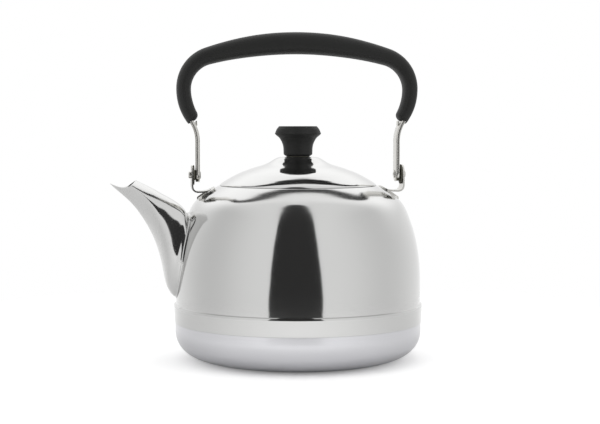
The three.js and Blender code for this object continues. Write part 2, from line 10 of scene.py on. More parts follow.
import bmesh
import bpy
import numpy as np
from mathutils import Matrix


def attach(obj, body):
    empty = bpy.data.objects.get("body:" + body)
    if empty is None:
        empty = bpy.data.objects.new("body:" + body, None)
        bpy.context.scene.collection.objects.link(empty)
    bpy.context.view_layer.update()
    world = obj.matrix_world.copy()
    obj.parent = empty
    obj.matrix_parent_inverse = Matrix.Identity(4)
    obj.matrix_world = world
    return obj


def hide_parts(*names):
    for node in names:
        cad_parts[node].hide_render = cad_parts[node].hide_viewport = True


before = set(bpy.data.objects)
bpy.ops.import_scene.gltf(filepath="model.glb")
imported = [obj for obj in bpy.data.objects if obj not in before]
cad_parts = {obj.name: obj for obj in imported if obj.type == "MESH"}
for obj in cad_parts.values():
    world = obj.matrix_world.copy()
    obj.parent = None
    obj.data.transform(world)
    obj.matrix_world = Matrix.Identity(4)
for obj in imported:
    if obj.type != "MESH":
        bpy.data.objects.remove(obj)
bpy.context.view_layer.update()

MM = 0.001
print("nodes:", len(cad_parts))

# %% [markdown]
# The camera comes first, so that every later choice can be looked at through it. A product
# picture like this one is taken from far away with a long lens, a little above the mouth of the
# kettle and tilted slightly down. The small shift puts the kettle's axis just left of the middle.

# %% Camera
CAMERA_TURN = math.radians(-8)
CAMERA_DISTANCE = 1.1
CAMERA_HEIGHT = 0.1799
CAMERA_TILT = math.radians(3.51)
SENSOR_WIDTH, LENS_LENGTH, LENS_SHIFT = 36, 86.26, 0.0034

scene = bpy.context.scene
scene.view_settings.view_transform = "Standard"
lens = bpy.data.cameras.new("camera")
lens.sensor_width = SENSOR_WIDTH
lens.lens = LENS_LENGTH
lens.shift_x = LENS_SHIFT
camera = bpy.data.objects.new("camera", lens)
scene.collection.objects.link(camera)
camera.location = (
    CAMERA_DISTANCE * math.sin(CAMERA_TURN),
    -CAMERA_DISTANCE * math.cos(CAMERA_TURN),
    CAMERA_HEIGHT,
)
camera.rotation_euler = (math.radians(90) - CAMERA_TILT, 0, CAMERA_TURN)
scene.camera = camera
print("camera at", [round(v, 3) for v in camera.location])

# %% [markdown]
# Shader maths reads best as plain expressions. One small class wraps a socket and turns
# + - * / and ** into Math nodes. The reflected forms let a plain number come first, as in
# 1 - mask.

# %% Shader expressions
class Wire:
    """A number that runs through a node tree; arithmetic on it adds Math nodes."""

    def __init__(self, tree, socket):
        self.tree, self.socket = tree, socket

    def _math(self, operation, first, second):
        """A Math node on two values, either of which may be a plain number."""
        return self.tree.node("ShaderNodeMath", {"operation": operation}, [first, second])

    def __add__(self, other):
        return self._math("ADD", self, other)

    def __radd__(self, other):
        return self._math("ADD", other, self)

    def __sub__(self, other):
        return self._math("SUBTRACT", self, other)

    def __rsub__(self, other):
        return self._math("SUBTRACT", other, self)

    def __mul__(self, other):
        return self._math("MULTIPLY", self, other)

    def __rmul__(self, other):
        return self._math("MULTIPLY", other, self)

    def __truediv__(self, other):
        return self._math("DIVIDE", self, other)

    def __pow__(self, other):
        return self._math("POWER", self, other)


print("a", Wire.__name__, "takes + - * / and **")

# %% [markdown]
# Any other node comes from one method of the tree: its settings are set first, and then its
# sockets get their values or links. The few kinds that most materials need have short names.

# %% Node trees
class Tree:
    """A node tree with one method that adds a node, sets it and wires it."""

    def __init__(self, owner):
        owner.use_nodes = True
        self.nodes, self.links = owner.node_tree.nodes, owner.node_tree.links
        self.nodes.clear()

    def node(self, kind, settings=None, inputs=(), output=0):
        """Adds a node: its settings first, then its sockets, listed in order or by name."""
        made = self.nodes.new(kind)
        for key, value in (settings or {}).items():
            setattr(made, key, value)
        pairs = inputs.items() if isinstance(inputs, dict) else enumerate(inputs)
        for key, value in pairs:
            if isinstance(value, Wire):
                self.links.new(value.socket, made.inputs[key])
            elif value is not None:
                made.inputs[key].default_value = value
        return Wire(self, made.outputs[output]) if made.outputs else made

    def smooth(self, value, low, high):
        """0 below low, 1 above high, and an S-curve between them."""
        settings = {"interpolation_type": "SMOOTHSTEP"}
        return self.node("ShaderNodeMapRange", settings, {0: value, 1: low, 2: high})

    def mix(self, factor, first, second):
        """A colour between two colours, by a factor from 0 to 1. The Mix node keeps its colour
        sockets behind those for numbers and vectors, so they go by number."""
        inputs = {0: factor, 6: first, 7: second}
        return self.node("ShaderNodeMix", {"data_type": "RGBA"}, inputs, output=2)

    def parts(self, vector):
        """The three numbers of a vector."""
        split = self.node("ShaderNodeSeparateXYZ", inputs=[vector]).socket.node
        return [Wire(self, split.outputs[k]) for k in range(3)]

    def along(self, vector, direction):
        """How far a vector reaches along a direction: their dot product."""
        settings = {"operation": "DOT_PRODUCT"}
        return self.node("ShaderNodeVectorMath", settings, [vector, direction], output="Value")

    def ray_kinds(self):
        """Two numbers, each 1 or 0: the camera looks at this, and a reflection looks at this."""
        path = self.node("ShaderNodeLightPath").socket.node
        return [Wire(self, path.outputs[k]) for k in ("Is Camera Ray", "Is Glossy Ray")]


print("shader helpers ready")

# %% [markdown]
# The studio is a white tent, because a mirror-bright kettle shows whatever stands round it. The
# tent could be built of cloth and lamps, but a world shader that reads the direction has no seam
# and no noise. It is pure white where the camera sees it, and a little darker towards the two
# sides where the kettle sees it, which gives the upright grey veils on the body. Its upper back
# is brighter, as cloth with a lamp behind it is, and the lid shows that. The paper under the
# kettle is lit by the same cloth, and its colour is painted a little greyer towards the sides, so
# the veils go on below as painted shade. The direction is turned with the camera first, so that
# x runs across the picture and y away from the camera.

# %% World
world = bpy.data.worlds.new("white_tent")
scene.world = world
tree = Tree(world)
TENT_FILL, TENT_SEEN = 0.82, 0.99
SIDE_VEIL, VEIL_POWER, VEIL_LEAN, VEIL_LOW, VEIL_HIGH = 0.2, 2.5, 0.12, 0.55, 0.95
BACK_LIGHT, BACK_NEAR, BACK_FAR, BACK_LOW, BACK_HIGH = 0.4, 0.1, 0.7, 0.2, 0.6
TINY = 1e-4

direction = tree.node("ShaderNodeTexCoord", output="Generated")
turned = tree.node("ShaderNodeVectorRotate", {"rotation_type": "Z_AXIS"},
                   {"Vector": direction, "Angle": -CAMERA_TURN})
x, y, z = tree.parts(turned)
back = tree.smooth(y, BACK_NEAR, BACK_FAR) * tree.smooth(z, BACK_LOW, BACK_HIGH)
sideways = x / (x * x + y * y + TINY) ** 0.5
veil = (sideways * sideways) ** VEIL_POWER * (1 - tree.smooth(z, VEIL_LOW, VEIL_HIGH))
leaning = 1 - VEIL_LEAN * sideways
seen = TENT_SEEN - SIDE_VEIL * veil * leaning + BACK_LIGHT * back

is_camera, is_glossy = tree.ray_kinds()
level = is_camera + (1 - is_camera) * (is_glossy * seen + (1 - is_glossy) * TENT_FILL)
tent = tree.node("ShaderNodeBackground", inputs={0: (1, 1, 1, 1), 1: level})
tree.node("ShaderNodeOutputWorld", inputs=[tent])
print("tent: fill", TENT_FILL, "side veil", SIDE_VEIL)

# %% [markdown]
# The floor is a white disc that fades out into the tent, so that neither the picture nor the
# metal shows an edge or a horizon. Its colour does most of the work: it is painted a little greyer
# beside the kettle, as painted shade that matches the darker sides of the tent. A little glow for
# the camera lifts it to the white of the tent and covers that painted grey. Reflections get a
# glow too, painted light that is brighter in front of the kettle than beside it, but not close to
# the pan, where they show the soft shadow.

# %% Floor
def plain_mesh(name, points, faces):
    """A mesh from arrays of points in metres and of corner numbers, with its own object."""
    mesh = bpy.data.meshes.new(name)
    mesh.from_pydata(np.asarray(points).tolist(), [], np.asarray(faces).tolist())
    made = bpy.data.objects.new(name, mesh)
    scene.collection.objects.link(made)
    return made


FLOOR_RADIUS, FADE_START, FADE_END, RIM_POINTS = 0.6, 0.24, 0.5, 96
# The side grey is painted shade on the paper, and the mirror glow is painted light that only
# reflections see.
PAPER_WHITE, PAINTED_SIDE_SHADE, NEAR_CENTRE, CAMERA_GLOW = 0.93, 0.16, 0.01, 0.2
PAINTED_MIRROR_GLOW, MIRROR_START, MIRROR_END = 0.16, 0.11, 0.2
turns = np.linspace(0, 2 * np.pi, RIM_POINTS, endpoint=False)
rim = np.stack([FLOOR_RADIUS * np.cos(turns), FLOOR_RADIUS * np.sin(turns), 0 * turns], axis=1)
floor = plain_mesh("floor", rim, [np.arange(RIM_POINTS)])
paper = bpy.data.materials.new("white_paper")
tree = Tree(paper)
is_camera, is_glossy = tree.ray_kinds()
spot = tree.node("ShaderNodeTexCoord", output="Object")
sideways = tree.along(spot, (math.cos(CAMERA_TURN), math.sin(CAMERA_TURN), 0))
away = tree.node("ShaderNodeVectorMath", {"operation": "LENGTH"}, [spot], output="Value")
share = sideways / (away + NEAR_CENTRE)
beside = share * share
# Painted shade: the paper's colour is made greyer beside the kettle, to match the tent's darker
# sides.
shade = PAPER_WHITE - PAINTED_SIDE_SHADE * beside
grey = tree.node("ShaderNodeCombineXYZ", inputs=[shade, shade, shade])
white = tree.node("ShaderNodeBsdfDiffuse", inputs={0: grey})
# Painted light: a glow that only reflections see, strongest in front of the kettle and faded out
# close to the pan.
painted_mirror_light = is_glossy * (1 - beside) * PAINTED_MIRROR_GLOW
painted_mirror_light = painted_mirror_light * tree.smooth(away, MIRROR_START, MIRROR_END)
glow = tree.node("ShaderNodeEmission", inputs={
    0: (1, 1, 1, 1), 1: painted_mirror_light + is_camera * (CAMERA_GLOW + PAINTED_SIDE_SHADE * beside)})
sheet_of_paper = tree.node("ShaderNodeAddShader", inputs=[white, glow])
gone = tree.smooth(away, FADE_START, FADE_END)
clear = tree.node("ShaderNodeBsdfTransparent")
faded = tree.node("ShaderNodeMixShader", inputs=[gone, sheet_of_paper, clear])
tree.node("ShaderNodeOutputMaterial", inputs=[faded])
floor.data.materials.append(paper)
print("floor radius", FLOOR_RADIUS)

# %% [markdown]
# In front, the tent has an opening for the camera, from the front edge of the table up to far
# overhead. The room behind it is dark, and the kettle shows it as the upright black shape in the
# middle of its body. It is one dark strip: over the floor in front of the table's edge, up a
# wall behind the camera, and back along a ceiling, narrowing to its end over the kettle. Only
# reflections see it, so it never hides the kettle or shades it. The corners of its two long
# sides are in metres, before the turn towards the camera.

# %% Opening of the tent
OPENING_FAR, OPENING_HIGH, OPENING_LOW = 1.5, 3.0, 0.0012
TABLE_EDGE, EDGE_SOFTNESS, ROOM_GREY = 0.318, 0.03, 0.036
opening_left = [
    (-0.144, -0.32, OPENING_LOW), (-0.167, -0.393, OPENING_LOW), (-0.184, -0.412, OPENING_LOW),
    (-0.197, -0.438, OPENING_LOW), (-0.69, -OPENING_FAR, OPENING_LOW), (-0.64, -OPENING_FAR, 0.5),
    (-0.60, -OPENING_FAR, 1.5), (-0.69, -OPENING_FAR, OPENING_HIGH), (-0.66, -1.2, OPENING_HIGH),
    (-0.53, -0.8, OPENING_HIGH), (-0.35, -0.24, OPENING_HIGH), (-0.2, 0.06, OPENING_HIGH)]
opening_right = [
    (0.118, -0.32, OPENING_LOW), (0.144, -0.406, OPENING_LOW), (0.157, -0.424, OPENING_LOW),
    (0.171, -0.451, OPENING_LOW), (0.585, -OPENING_FAR, OPENING_LOW), (0.515, -OPENING_FAR, 0.5),
    (0.475, -OPENING_FAR, 1.5), (0.50, -OPENING_FAR, OPENING_HIGH), (0.46, -1.2, OPENING_HIGH),
    (0.36, -0.8, OPENING_HIGH), (0.22, -0.24, OPENING_HIGH), (0.08, 0.06, OPENING_HIGH)]
opening_corners = np.array(opening_left + opening_right)
cos_turn, sin_turn = math.cos(CAMERA_TURN), math.sin(CAMERA_TURN)
turn_matrix = np.array([[cos_turn, -sin_turn, 0], [sin_turn, cos_turn, 0], [0, 0, 1]])
across = len(opening_left)
steps = np.arange(across - 1)
opening_faces = np.stack([steps, steps + 1, steps + 1 + across, steps + across], axis=1)
opening = plain_mesh("tent_opening", opening_corners @ turn_matrix.T, opening_faces)
dark_room = bpy.data.materials.new("dark_room")
tree = Tree(dark_room)
spot = tree.node("ShaderNodeTexCoord", output="Object")
ahead = tree.along(spot, (sin_turn, -cos_turn, 0))
height = tree.parts(spot)[2]
dim = tree.node("ShaderNodeEmission", inputs={0: (ROOM_GREY, ROOM_GREY, ROOM_GREY, 1), 1: 1.0})
dark = tree.smooth(ahead + height, TABLE_EDGE, TABLE_EDGE + EDGE_SOFTNESS)
clear = tree.node("ShaderNodeBsdfTransparent")
soft_edge = tree.node("ShaderNodeMixShader", inputs=[dark, clear, dim])
tree.node("ShaderNodeOutputMaterial", inputs=[soft_edge])
opening.data.materials.append(dark_room)
for kind in ("camera", "diffuse", "shadow", "transmission"):
    setattr(opening, "visible_" + kind, False)
print("opening", opening.name, "at", OPENING_FAR, "m")

# %% [markdown]
# Two wide, weak lamps stand beside the camera and one hangs above. They shape the black grip and
# the knob a little. Reflections don't see them, because the tent is what the metal shows. Each
# is given by its place, its width in metres and its power in watts. A lamp shines down its own
# -Z axis: one turn tips that axis away from straight down, and one swings it round to the aim,
# which is the middle of the table.

# %% Lamps
LAMPS = {
    "lamp_left": ((-1.6, -1.2, 1.6), 1.6, 7),
    "lamp_right": ((1.6, -1.0, 1.4), 1.6, 5),
    "lamp_top": ((0.0, 0.2, 2.2), 1.8, 9),
}
for name, (place, size, power) in LAMPS.items():
    light = bpy.data.lights.new(name, "AREA")
    light.shape, light.size, light.energy = "DISK", size, power
    lamp = bpy.data.objects.new(name, light)
    lamp.location = place
    aim = -np.array(place)
    lamp.rotation_euler = (
        math.atan2(math.hypot(aim[0], aim[1]), -aim[2]), 0, math.atan2(-aim[0], aim[1]))
    lamp.visible_glossy = False
    lamp.visible_camera = False
    scene.collection.objects.link(lamp)
print("lamps:", ", ".join(LAMPS))

# %% [markdown]
# Every finish starts from the Principled shader. Only what changes over a surface is wired to
# it, and all patterns read Object coordinates, which are metres on this model.

# %% Finish helpers
class Finish(Tree):
    """A material whose tree ends in a Principled shader; what varies is passed to surface()."""

    def __init__(self, name):
        self.material = bpy.data.materials.new(name)
        super().__init__(self.material)

    def place(self):
        """Object coordinates as a vector and as three numbers."""
        vector = self.node("ShaderNodeTexCoord", output="Object")
        return vector, *self.parts(vector)

    def noise(self, vector, scale, detail=2, roughness=0.5):
        """Cloudy noise from 0 to 1."""
        inputs = {"Vector": vector, "Scale": scale, "Detail": detail, "Roughness": roughness}
        return self.node("ShaderNodeTexNoise", inputs=inputs)

    def vector(self, x, y, z):
        """A vector from three numbers."""
        return self.node("ShaderNodeCombineXYZ", inputs=[x, y, z])

    def bump(self, height, strength, distance):
        """A normal that is tilted by a pattern of heights, whose full depth is the distance."""
        inputs = {"Height": height, "Strength": strength, "Distance": distance}
        return self.node("ShaderNodeBump", inputs=inputs)

    def surface(self, **values):
        """The finished material: every value goes to the Principled socket of that name."""
        names = {"color": "Base Color", "ior_level": "Specular IOR Level"}
        inputs = {names.get(k, k.capitalize()): v for k, v in values.items()}
        shader = self.node("ShaderNodeBsdfPrincipled", inputs=inputs)
        self.node("ShaderNodeOutputMaterial", inputs=[shader])
        return self.material


print("finish helpers ready")

# %% [markdown]
# Polished stainless sheet reflects about six tenths of the light head on and nearly all of it at
# a grazing angle, which is why the body brightens towards its outline. Wiping leaves soft clouds
# where the mirror is a trace less sharp, and buffing leaves faint waves. The shoulder is softer
# than the wall, because it was polished again after its mouth was rolled, and so is the spout,
# which no lathe can reach. Where they are is worked out from the height and the distance from
# the axis, in metres.

# %% Polished steel
STEEL_COLOURS = (0.60, 0.60, 0.595, 1), (0.64, 0.64, 0.632, 1)
SHOULDER_SOFT, SHOULDER_FROM, SHOULDER_FULL = 0.05, 0.106, 0.120
LID_FROM, LID_FULL, RIM_FROM, RIM_FULL = 0.131, 0.134, 0.084, 0.090
SPOUT_SOFT, SPOUT_FROM, SPOUT_FULL = 0.06, 0.096, 0.1


def polished_steel():
    """Clouds mix two greys and raise the roughness, the shoulder and the spout add to it, and
    wider waves tilt the normal."""
    f = Finish("polished_steel")
    vector, x, y, z = f.place()
    radius = (x * x + y * y) ** 0.5
    shoulder = f.smooth(z, SHOULDER_FROM, SHOULDER_FULL) * (1 - f.smooth(z, LID_FROM, LID_FULL))
    shoulder = shoulder * (1 - f.smooth(radius, RIM_FROM, RIM_FULL))
    spout = f.smooth(radius, SPOUT_FROM, SPOUT_FULL)
    softer = SHOULDER_SOFT * shoulder + SPOUT_SOFT * spout
    clouds = f.noise(vector, scale=14, detail=3)
    waves = f.noise(vector, scale=9, detail=1)
    return f.surface(color=f.mix(clouds, *STEEL_COLOURS), metallic=1.0,
                     roughness=0.06 + 0.05 * clouds + softer,
                     normal=f.bump(waves, strength=0.12, distance=0.0006))


steel = polished_steel()
print("made", steel.name)

# %% [markdown]
# The pan and the ring under the lid are satin. Their lines run round the axis, because the sheet
# was turned against an abrasive, so the pattern depends only on the radius and the height.

# %% Satin steel
SATIN_COLOURS = (0.64, 0.64, 0.665, 1), (0.70, 0.70, 0.72, 1)
SATIN_LINES = 2600


def satin_steel():
    """Noise on (radius, 0, height) makes the lines: the same all round, fine across."""
    f = Finish("satin_steel")
    vector, x, y, z = f.place()
    radius = (x * x + y * y) ** 0.5
    lines = f.noise(f.vector(radius * SATIN_LINES, 0.0, z * SATIN_LINES), scale=1)
    clouds = f.noise(vector, scale=20)
    return f.surface(color=f.mix(lines, *SATIN_COLOURS), metallic=1.0,
                     roughness=0.13 + 0.08 * clouds + 0.05 * lines,
                     normal=f.bump(lines, strength=0.15, distance=0.00002))


satin = satin_steel()
print("made", satin.name)

# %% [markdown]
# The bail's channel, the ears and the rivets are plated strip: bright, smooth and a little warm,
# with a trace of grain along its length and soft clouds where the plating is thinner.

# %% Plated strip
PLATED_COLOURS = (0.61, 0.60, 0.565, 1), (0.69, 0.68, 0.65, 1)
GRAIN_ACROSS, GRAIN_ALONG = 900, 60


def plated_strip():
    """The grain is noise that is squeezed across the arms and left long along them."""
    f = Finish("plated_strip")
    vector, x, y, z = f.place()
    stretched = f.vector(x * GRAIN_ACROSS, y * GRAIN_ACROSS, z * GRAIN_ALONG)
    grain = f.noise(stretched, scale=1)
    clouds = f.noise(vector, scale=35)
    return f.surface(color=f.mix(clouds, *PLATED_COLOURS), metallic=1.0,
                     roughness=0.22 + 0.06 * clouds + 0.03 * grain)


plated = plated_strip()
print("made", plated.name)

# %% [markdown]
# Grip and knob are moulded from black heat-proof resin. It is dull, with the fine grain of the
# mould and soft clouds where hands have polished it a trace.

# %% Black resin
RESIN_COLOURS = (0.0115, 0.0118, 0.0113, 1), (0.0165, 0.0168, 0.016, 1)


def black_resin():
    """A fine grain tilts the normal, and clouds mix two near-blacks and change the shine."""
    f = Finish("black_resin")
    vector = f.place()[0]
    grain = f.noise(vector, scale=1500, roughness=0.6)
    clouds = f.noise(vector, scale=45, detail=3)
    return f.surface(color=f.mix(clouds, *RESIN_COLOURS), ior_level=0.3,
                     roughness=0.46 + 0.14 * clouds + 0.06 * grain,
                     normal=f.bump(grain, strength=0.35, distance=0.00006))


resin = black_resin()
print("made", resin.name)

# %% [markdown]
# The discs, bushes and washers at the pivots and under the knob are pressed fibre, a dull olive
# felt. The threaded insert in the knob is brass, and shows the fine rings of its turning.

# %% Dark fibre and brass
FIBRE_COLOURS = (0.06, 0.058, 0.046, 1), (0.15, 0.145, 0.115, 1)
BRASS_COLOURS = (0.55, 0.39, 0.16, 1), (0.68, 0.50, 0.24, 1)
BRASS_LINES = 4000


def dark_fibre():
    """One fine noise makes the colour, the roughness and the nap."""
    f = Finish("dark_fibre")
    felt = f.noise(f.place()[0], scale=1100, detail=4, roughness=0.7)
    return f.surface(color=f.mix(felt, *FIBRE_COLOURS), roughness=0.7 + 0.2 * felt,
                     ior_level=0.3, normal=f.bump(felt, strength=0.5, distance=0.00008))


def turned_brass():
    """Lines as on the satin steel, but closer together."""
    f = Finish("turned_brass")
    _, x, y, z = f.place()
    radius = (x * x + y * y) ** 0.5
    lines = f.noise(f.vector(radius * BRASS_LINES, 0.0, z * BRASS_LINES), scale=1)
    return f.surface(color=f.mix(lines, *BRASS_COLOURS), metallic=1.0,
                     roughness=0.25 + 0.15 * lines)


fibre, brass = dark_fibre(), turned_brass()
print("made", fibre.name, "and", brass.name)

# %% [markdown]
# Every new piece is a surface worked out with numpy as a grid of points. This cell turns a grid
# into a closed, smooth mesh: neighbouring rows and columns become four-sided faces, points that
# meet at a pole are merged, and the faces are turned to look outwards.

# %% From a grid of points to a piece
SHARP, MERGE = 40, 2e-6


def grid_faces(rows, columns, ring):
    """Corner numbers of the faces of a grid. The last column joins the first, and in a ring the
    last row joins the first too."""
    i = np.arange(rows if ring else rows - 1)[:, None]
    j = np.arange(columns)[None, :]
    i2, j2 = (i + 1) % rows, (j + 1) % columns
    corners = [i * columns + j, i * columns + j2, i2 * columns + j2, i2 * columns + j]
    return np.stack(np.broadcast_arrays(*corners), axis=-1).reshape(-1, 4)


def dress(piece, finish, body, slot, *nodes):
    """Gives a piece its finish and its body, and hides the CAD nodes that it stands for; the slot
    is not used.
    """
    piece.data.materials.clear()
    piece.data.materials.append(finish)
    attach(piece, body)
    if nodes:
        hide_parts(*nodes)
    print(piece.name, "faces", len(piece.data.polygons), "for", ", ".join(nodes) or "itself")


def skin(name, grid, ring=False, sharp=SHARP):
    """One smooth piece from a grid of points in mm, with an edge where it turns sharply."""
    piece = plain_mesh(name, grid.reshape(-1, 3) * MM, grid_faces(*grid.shape[:2], ring))
    soft = bmesh.new()
    soft.from_mesh(piece.data)
    bmesh.ops.remove_doubles(soft, verts=soft.verts, dist=MERGE)
    bmesh.ops.recalc_face_normals(soft, faces=soft.faces)
    soft.to_mesh(piece.data)
    soft.free()
    piece.data.shade_smooth()
    piece.data.set_sharp_from_angle(angle=math.radians(sharp))
    return piece


print("grid helpers ready")

# %% [markdown]
# Sheet-metal pieces start from a line in the section plane, as on a spinner's drawing. These
# helpers round its corners or draw a smooth curve through a few points. Blender's own curves
# could do that, but a formula gives the same points each run and takes any corner's radius.

# %% Lines in the section plane
def unit(vectors):
    """Vectors along the last axis, brought to length 1."""
    return vectors / np.linalg.norm(vectors, axis=-1, keepdims=True)


def boxy(values, power):
    """sin a or cos a raised to 2 / power, with its sign kept. The two together draw a
    superellipse, which is an ellipse at power 2 and boxier above it."""
    return np.sign(values) * np.abs(values) ** (2 / power)


def rounded(points, radii, steps=8):
    """A line with its corners replaced by arcs: each arc starts and ends at the distance
    radius * tan(half the turn) from its corner."""
    points = [np.array(p, float) for p in points]
    line = [points[0]]
    for before, corner, after, radius in zip(points, points[1:], points[2:], radii):
        into, away = unit(corner - before), unit(after - corner)
        turn = math.atan2(into[0] * away[1] - into[1] * away[0], into @ away)
        back = radius * math.tan(abs(turn) / 2)
        start = corner - into * back
        normal = np.array([-into[1], into[0]]) * math.copysign(1, turn)
        centre = start + normal * radius
        angles = np.linspace(0, abs(turn), steps + 1)[:, None]
        line.extend(centre - normal * radius * np.cos(angles) + into * radius * np.sin(angles))
    return np.array(line + [points[-1]])


def through(points, count):
    """A natural cubic curve through points, its parameter running by the chord's length."""
    points = np.array(points, float)
    knots = np.concatenate([[0], np.cumsum(np.linalg.norm(np.diff(points, axis=0), axis=1))])
    return spline(knots, points, np.linspace(0, knots[-1], count))


def spline(knots, values, at):
    """Natural cubic spline: its second derivatives m solve the usual three-term equations."""
    h = np.diff(knots)[:, None]
    slope = np.diff(values, axis=0) / h
    size = len(knots)
    system = np.eye(size)
    inner = np.arange(1, size - 1)
    system[inner, inner - 1] = h[:-1, 0]
    system[inner, inner] = 2 * (h[:-1, 0] + h[1:, 0])
    system[inner, inner + 1] = h[1:, 0]
    right = np.zeros_like(values)
    right[1:-1] = 6 * np.diff(slope, axis=0)
    m = np.linalg.solve(system, right)
    k = np.clip(np.searchsorted(knots, at, side="right") - 1, 0, size - 2)
    t = (at - knots[k])[:, None]
    first = slope[k] - h[k] * (2 * m[k] + m[k + 1]) / 6
    return values[k] + t * (first + t * (m[k] / 2 + t * (m[k + 1] - m[k]) / (6 * h[k])))


print("line helpers ready")

# %% [markdown]
# A line becomes a piece in three steps. It gets points at even steps, so that the faces of the
# mesh are even too, then the thickness of the sheet, with a half round at both cut edges, and
# then it is turned about the kettle's axis.

# %% From a line to a turned sheet
BORE_EDGE = 0.05


def spaced(line, step):
    """The same line with points at equal steps along it."""
    along = np.concatenate([[0], np.cumsum(np.linalg.norm(np.diff(line, axis=0), axis=1))])
    at = np.linspace(0, along[-1], max(int(along[-1] / step), 2) + 1)
    return np.stack([np.interp(at, along, line[:, k]) for k in range(line.shape[1])], axis=1)


def left_normals(line):
    """Unit normals on the left of a line's direction."""
    away = unit(np.gradient(line, axis=0))
    return np.stack([-away[:, 1], away[:, 0]], axis=1)


def sheet_loop(line, thickness, caps=5):
    """A closed section: the line, its offset to the left, and a half round at both ends."""
    normals = left_normals(line)
    other = line + normals * thickness

    def cap(middle, normal, forward):
        angles = np.linspace(0, np.pi, caps + 2)[1:-1, None]
        return middle + thickness / 2 * (np.cos(angles) * normal + np.sin(angles) * forward)

    ahead = np.array([normals[-1][1], -normals[-1][0]])
    behind = -np.array([normals[0][1], -normals[0][0]])
    end = cap((line[-1] + other[-1]) / 2, -normals[-1], ahead)
    start = cap((line[0] + other[0]) / 2, normals[0], behind)
    return np.concatenate([line, end, other[::-1], start])


def grid_of(x, y, z):
    """Points from three arrays, each spread over the rows and columns of the others."""
    return np.stack(np.broadcast_arrays(x, y, z), axis=-1)


def lathe(section, sides=256):
    """A section of (radius, height) turned about Z: x = r cos a, y = r sin a."""
    angles = np.linspace(0, 2 * np.pi, sides, endpoint=False)
    r, z = section[:, :1], section[:, 1:]
    return grid_of(r * np.cos(angles), r * np.sin(angles), z)


def ring_section(inner, outer, low, high, edge, steps):
    """The section of a flat ring: a rectangle with round corners, drawn from the middle of its
    bore all the way round to there."""
    start = (inner, (low + high) / 2)
    corners = [start, (inner, low), (outer, low), (outer, high), (inner, high), start]
    return rounded(corners, [BORE_EDGE, edge, edge, BORE_EDGE], steps)


print("section helpers ready")

# %% [markdown]
# The body is one drawn sheet: a band at its foot that grips the pan, an upright wall, and a
# domed shoulder that is rolled into the mouth. A few arcs would do for the outline, but the
# mirror shows each jump of curvature between them, so the shoulder is one smooth curve through
# shares of its width and height, and two points on the wall below hold its start upright. The
# band draws in a little towards the pan, its step is small and crisp, and the mouth is an arc
# that runs down into a short neck.

# %% Body line
SHEET = 0.7
WALL_RADIUS, BAND_RADIUS, BAND_TAPER = 93.5, 95.1, 0.5
BAND_LOW, BAND_HIGH, STEP_HIGH = 29.4, 42.6, 42.9
SHOULDER_LOW, SHOULDER_END_SLOPE, MOUTH_HEIGHT = 59.5, 27.9, 132.9
MOUTH_RADIUS, MOUTH_ROLL, NECK_DEPTH = 57.4, 2.5, 5.5
WALL_HOLDS = (6, 11)
BAND_EDGES = (0.4, 0.3)
shoulder_shares = np.array([
    [1, 0], [0.9875, 0.163], [0.955, 0.3021], [0.9051, 0.4284], [0.8404, 0.5413],
    [0.7653, 0.6407], [0.6827, 0.7328], [0.6372, 0.7748], [0.5826, 0.8146], [0.52, 0.8483],
    [0.4459, 0.877], [0.338, 0.9102], [0.2269, 0.9413], [0.1146, 0.9715], [0, 1]])

angles = np.radians(np.linspace(90 - SHOULDER_END_SLOPE, 180, 20))[:, None]
roll_middle = np.array([MOUTH_RADIUS + MOUTH_ROLL, MOUTH_HEIGHT - MOUTH_ROLL])
roll = roll_middle + MOUTH_ROLL * np.concatenate([np.cos(angles), np.sin(angles)], axis=1)
end_radius, end_height = roll[0]
shoulder_points = shoulder_shares * [WALL_RADIUS - end_radius, end_height - SHOULDER_LOW]
shoulder_points += [end_radius, SHOULDER_LOW]
wall_points = [[WALL_RADIUS, STEP_HIGH + up] for up in WALL_HOLDS]
shoulder = through(np.concatenate([wall_points, shoulder_points]), count=400)
foot = rounded(
    [(BAND_RADIUS - BAND_TAPER, BAND_LOW), (BAND_RADIUS, BAND_HIGH), (WALL_RADIUS, STEP_HIGH),
     wall_points[0]], BAND_EDGES)
neck = np.array([[MOUTH_RADIUS, MOUTH_HEIGHT - MOUTH_ROLL - NECK_DEPTH]])
body_line = np.concatenate([
    spaced(foot, step=0.8)[:-1], spaced(shoulder, step=0.9)[:-1], roll,
    spaced(np.concatenate([roll[-1:], neck]), step=1)[1:]])
body_radius = np.concatenate([foot[:-1], shoulder])
print("body line of", len(body_line), "points")

# %% [markdown]
# The spout is a thin shell: wide and boxy where it leaves the body, and a narrow drop with a soft
# ridge at its open lip. It could be modelled by hand from a tube, but a skin that runs smoothly
# through a row of sections mirrors the tent without dents. Each section has a lower and an upper
# point in the plane of symmetry, both as shares of the reach and the rise, a share of the half
# width, a power for its upper half, boxy near the root and nearly a gable at the lip, and the
# share of its height at which it is widest.

# %% Spout sections
SPOUT_FOOT, SPOUT_RISE, SPOUT_REACH, SPOUT_HALF, SPOUT_EGG = 48.5, 86.6, 49.3, 20.7, 0.1
SPOUT_SECTIONS = np.array([
    [-0.2, 0, -0.17, 0.6, 0.97, 3, 0.465],
    [0, 0, 0, 0.72, 1.05, 3, 0.465],
    [0.1, 0.052, 0.065, 0.779, 1.012, 3.068, 0.465],
    [0.162, 0.136, 0.156, 0.828, 1.008, 2.489, 0.493],
    [0.217, 0.292, 0.292, 0.877, 0.949, 2.118, 0.53],
    [0.292, 0.452, 0.41, 0.913, 0.857, 1.855, 0.573],
    [0.412, 0.61, 0.511, 0.947, 0.773, 1.537, 0.604],
    [0.586, 0.768, 0.613, 0.977, 0.669, 1.295, 0.615],
    [0.753, 0.873, 0.694, 1, 0.605, 1.22, 0.605],
    [0.911, 0.952, 0.775, 1.023, 0.551, 1.22, 0.58],
    [1, 1, 0.85, 1.046, 0.521, 1.22, 0.549],
    [1.1, 1.06, 0.93, 1.08, 0.486, 1.22, 0.549],
])


def body_reach(height):
    """Outer radius of the body at a height."""
    return np.interp(height, body_radius[:, 1], body_radius[:, 0])


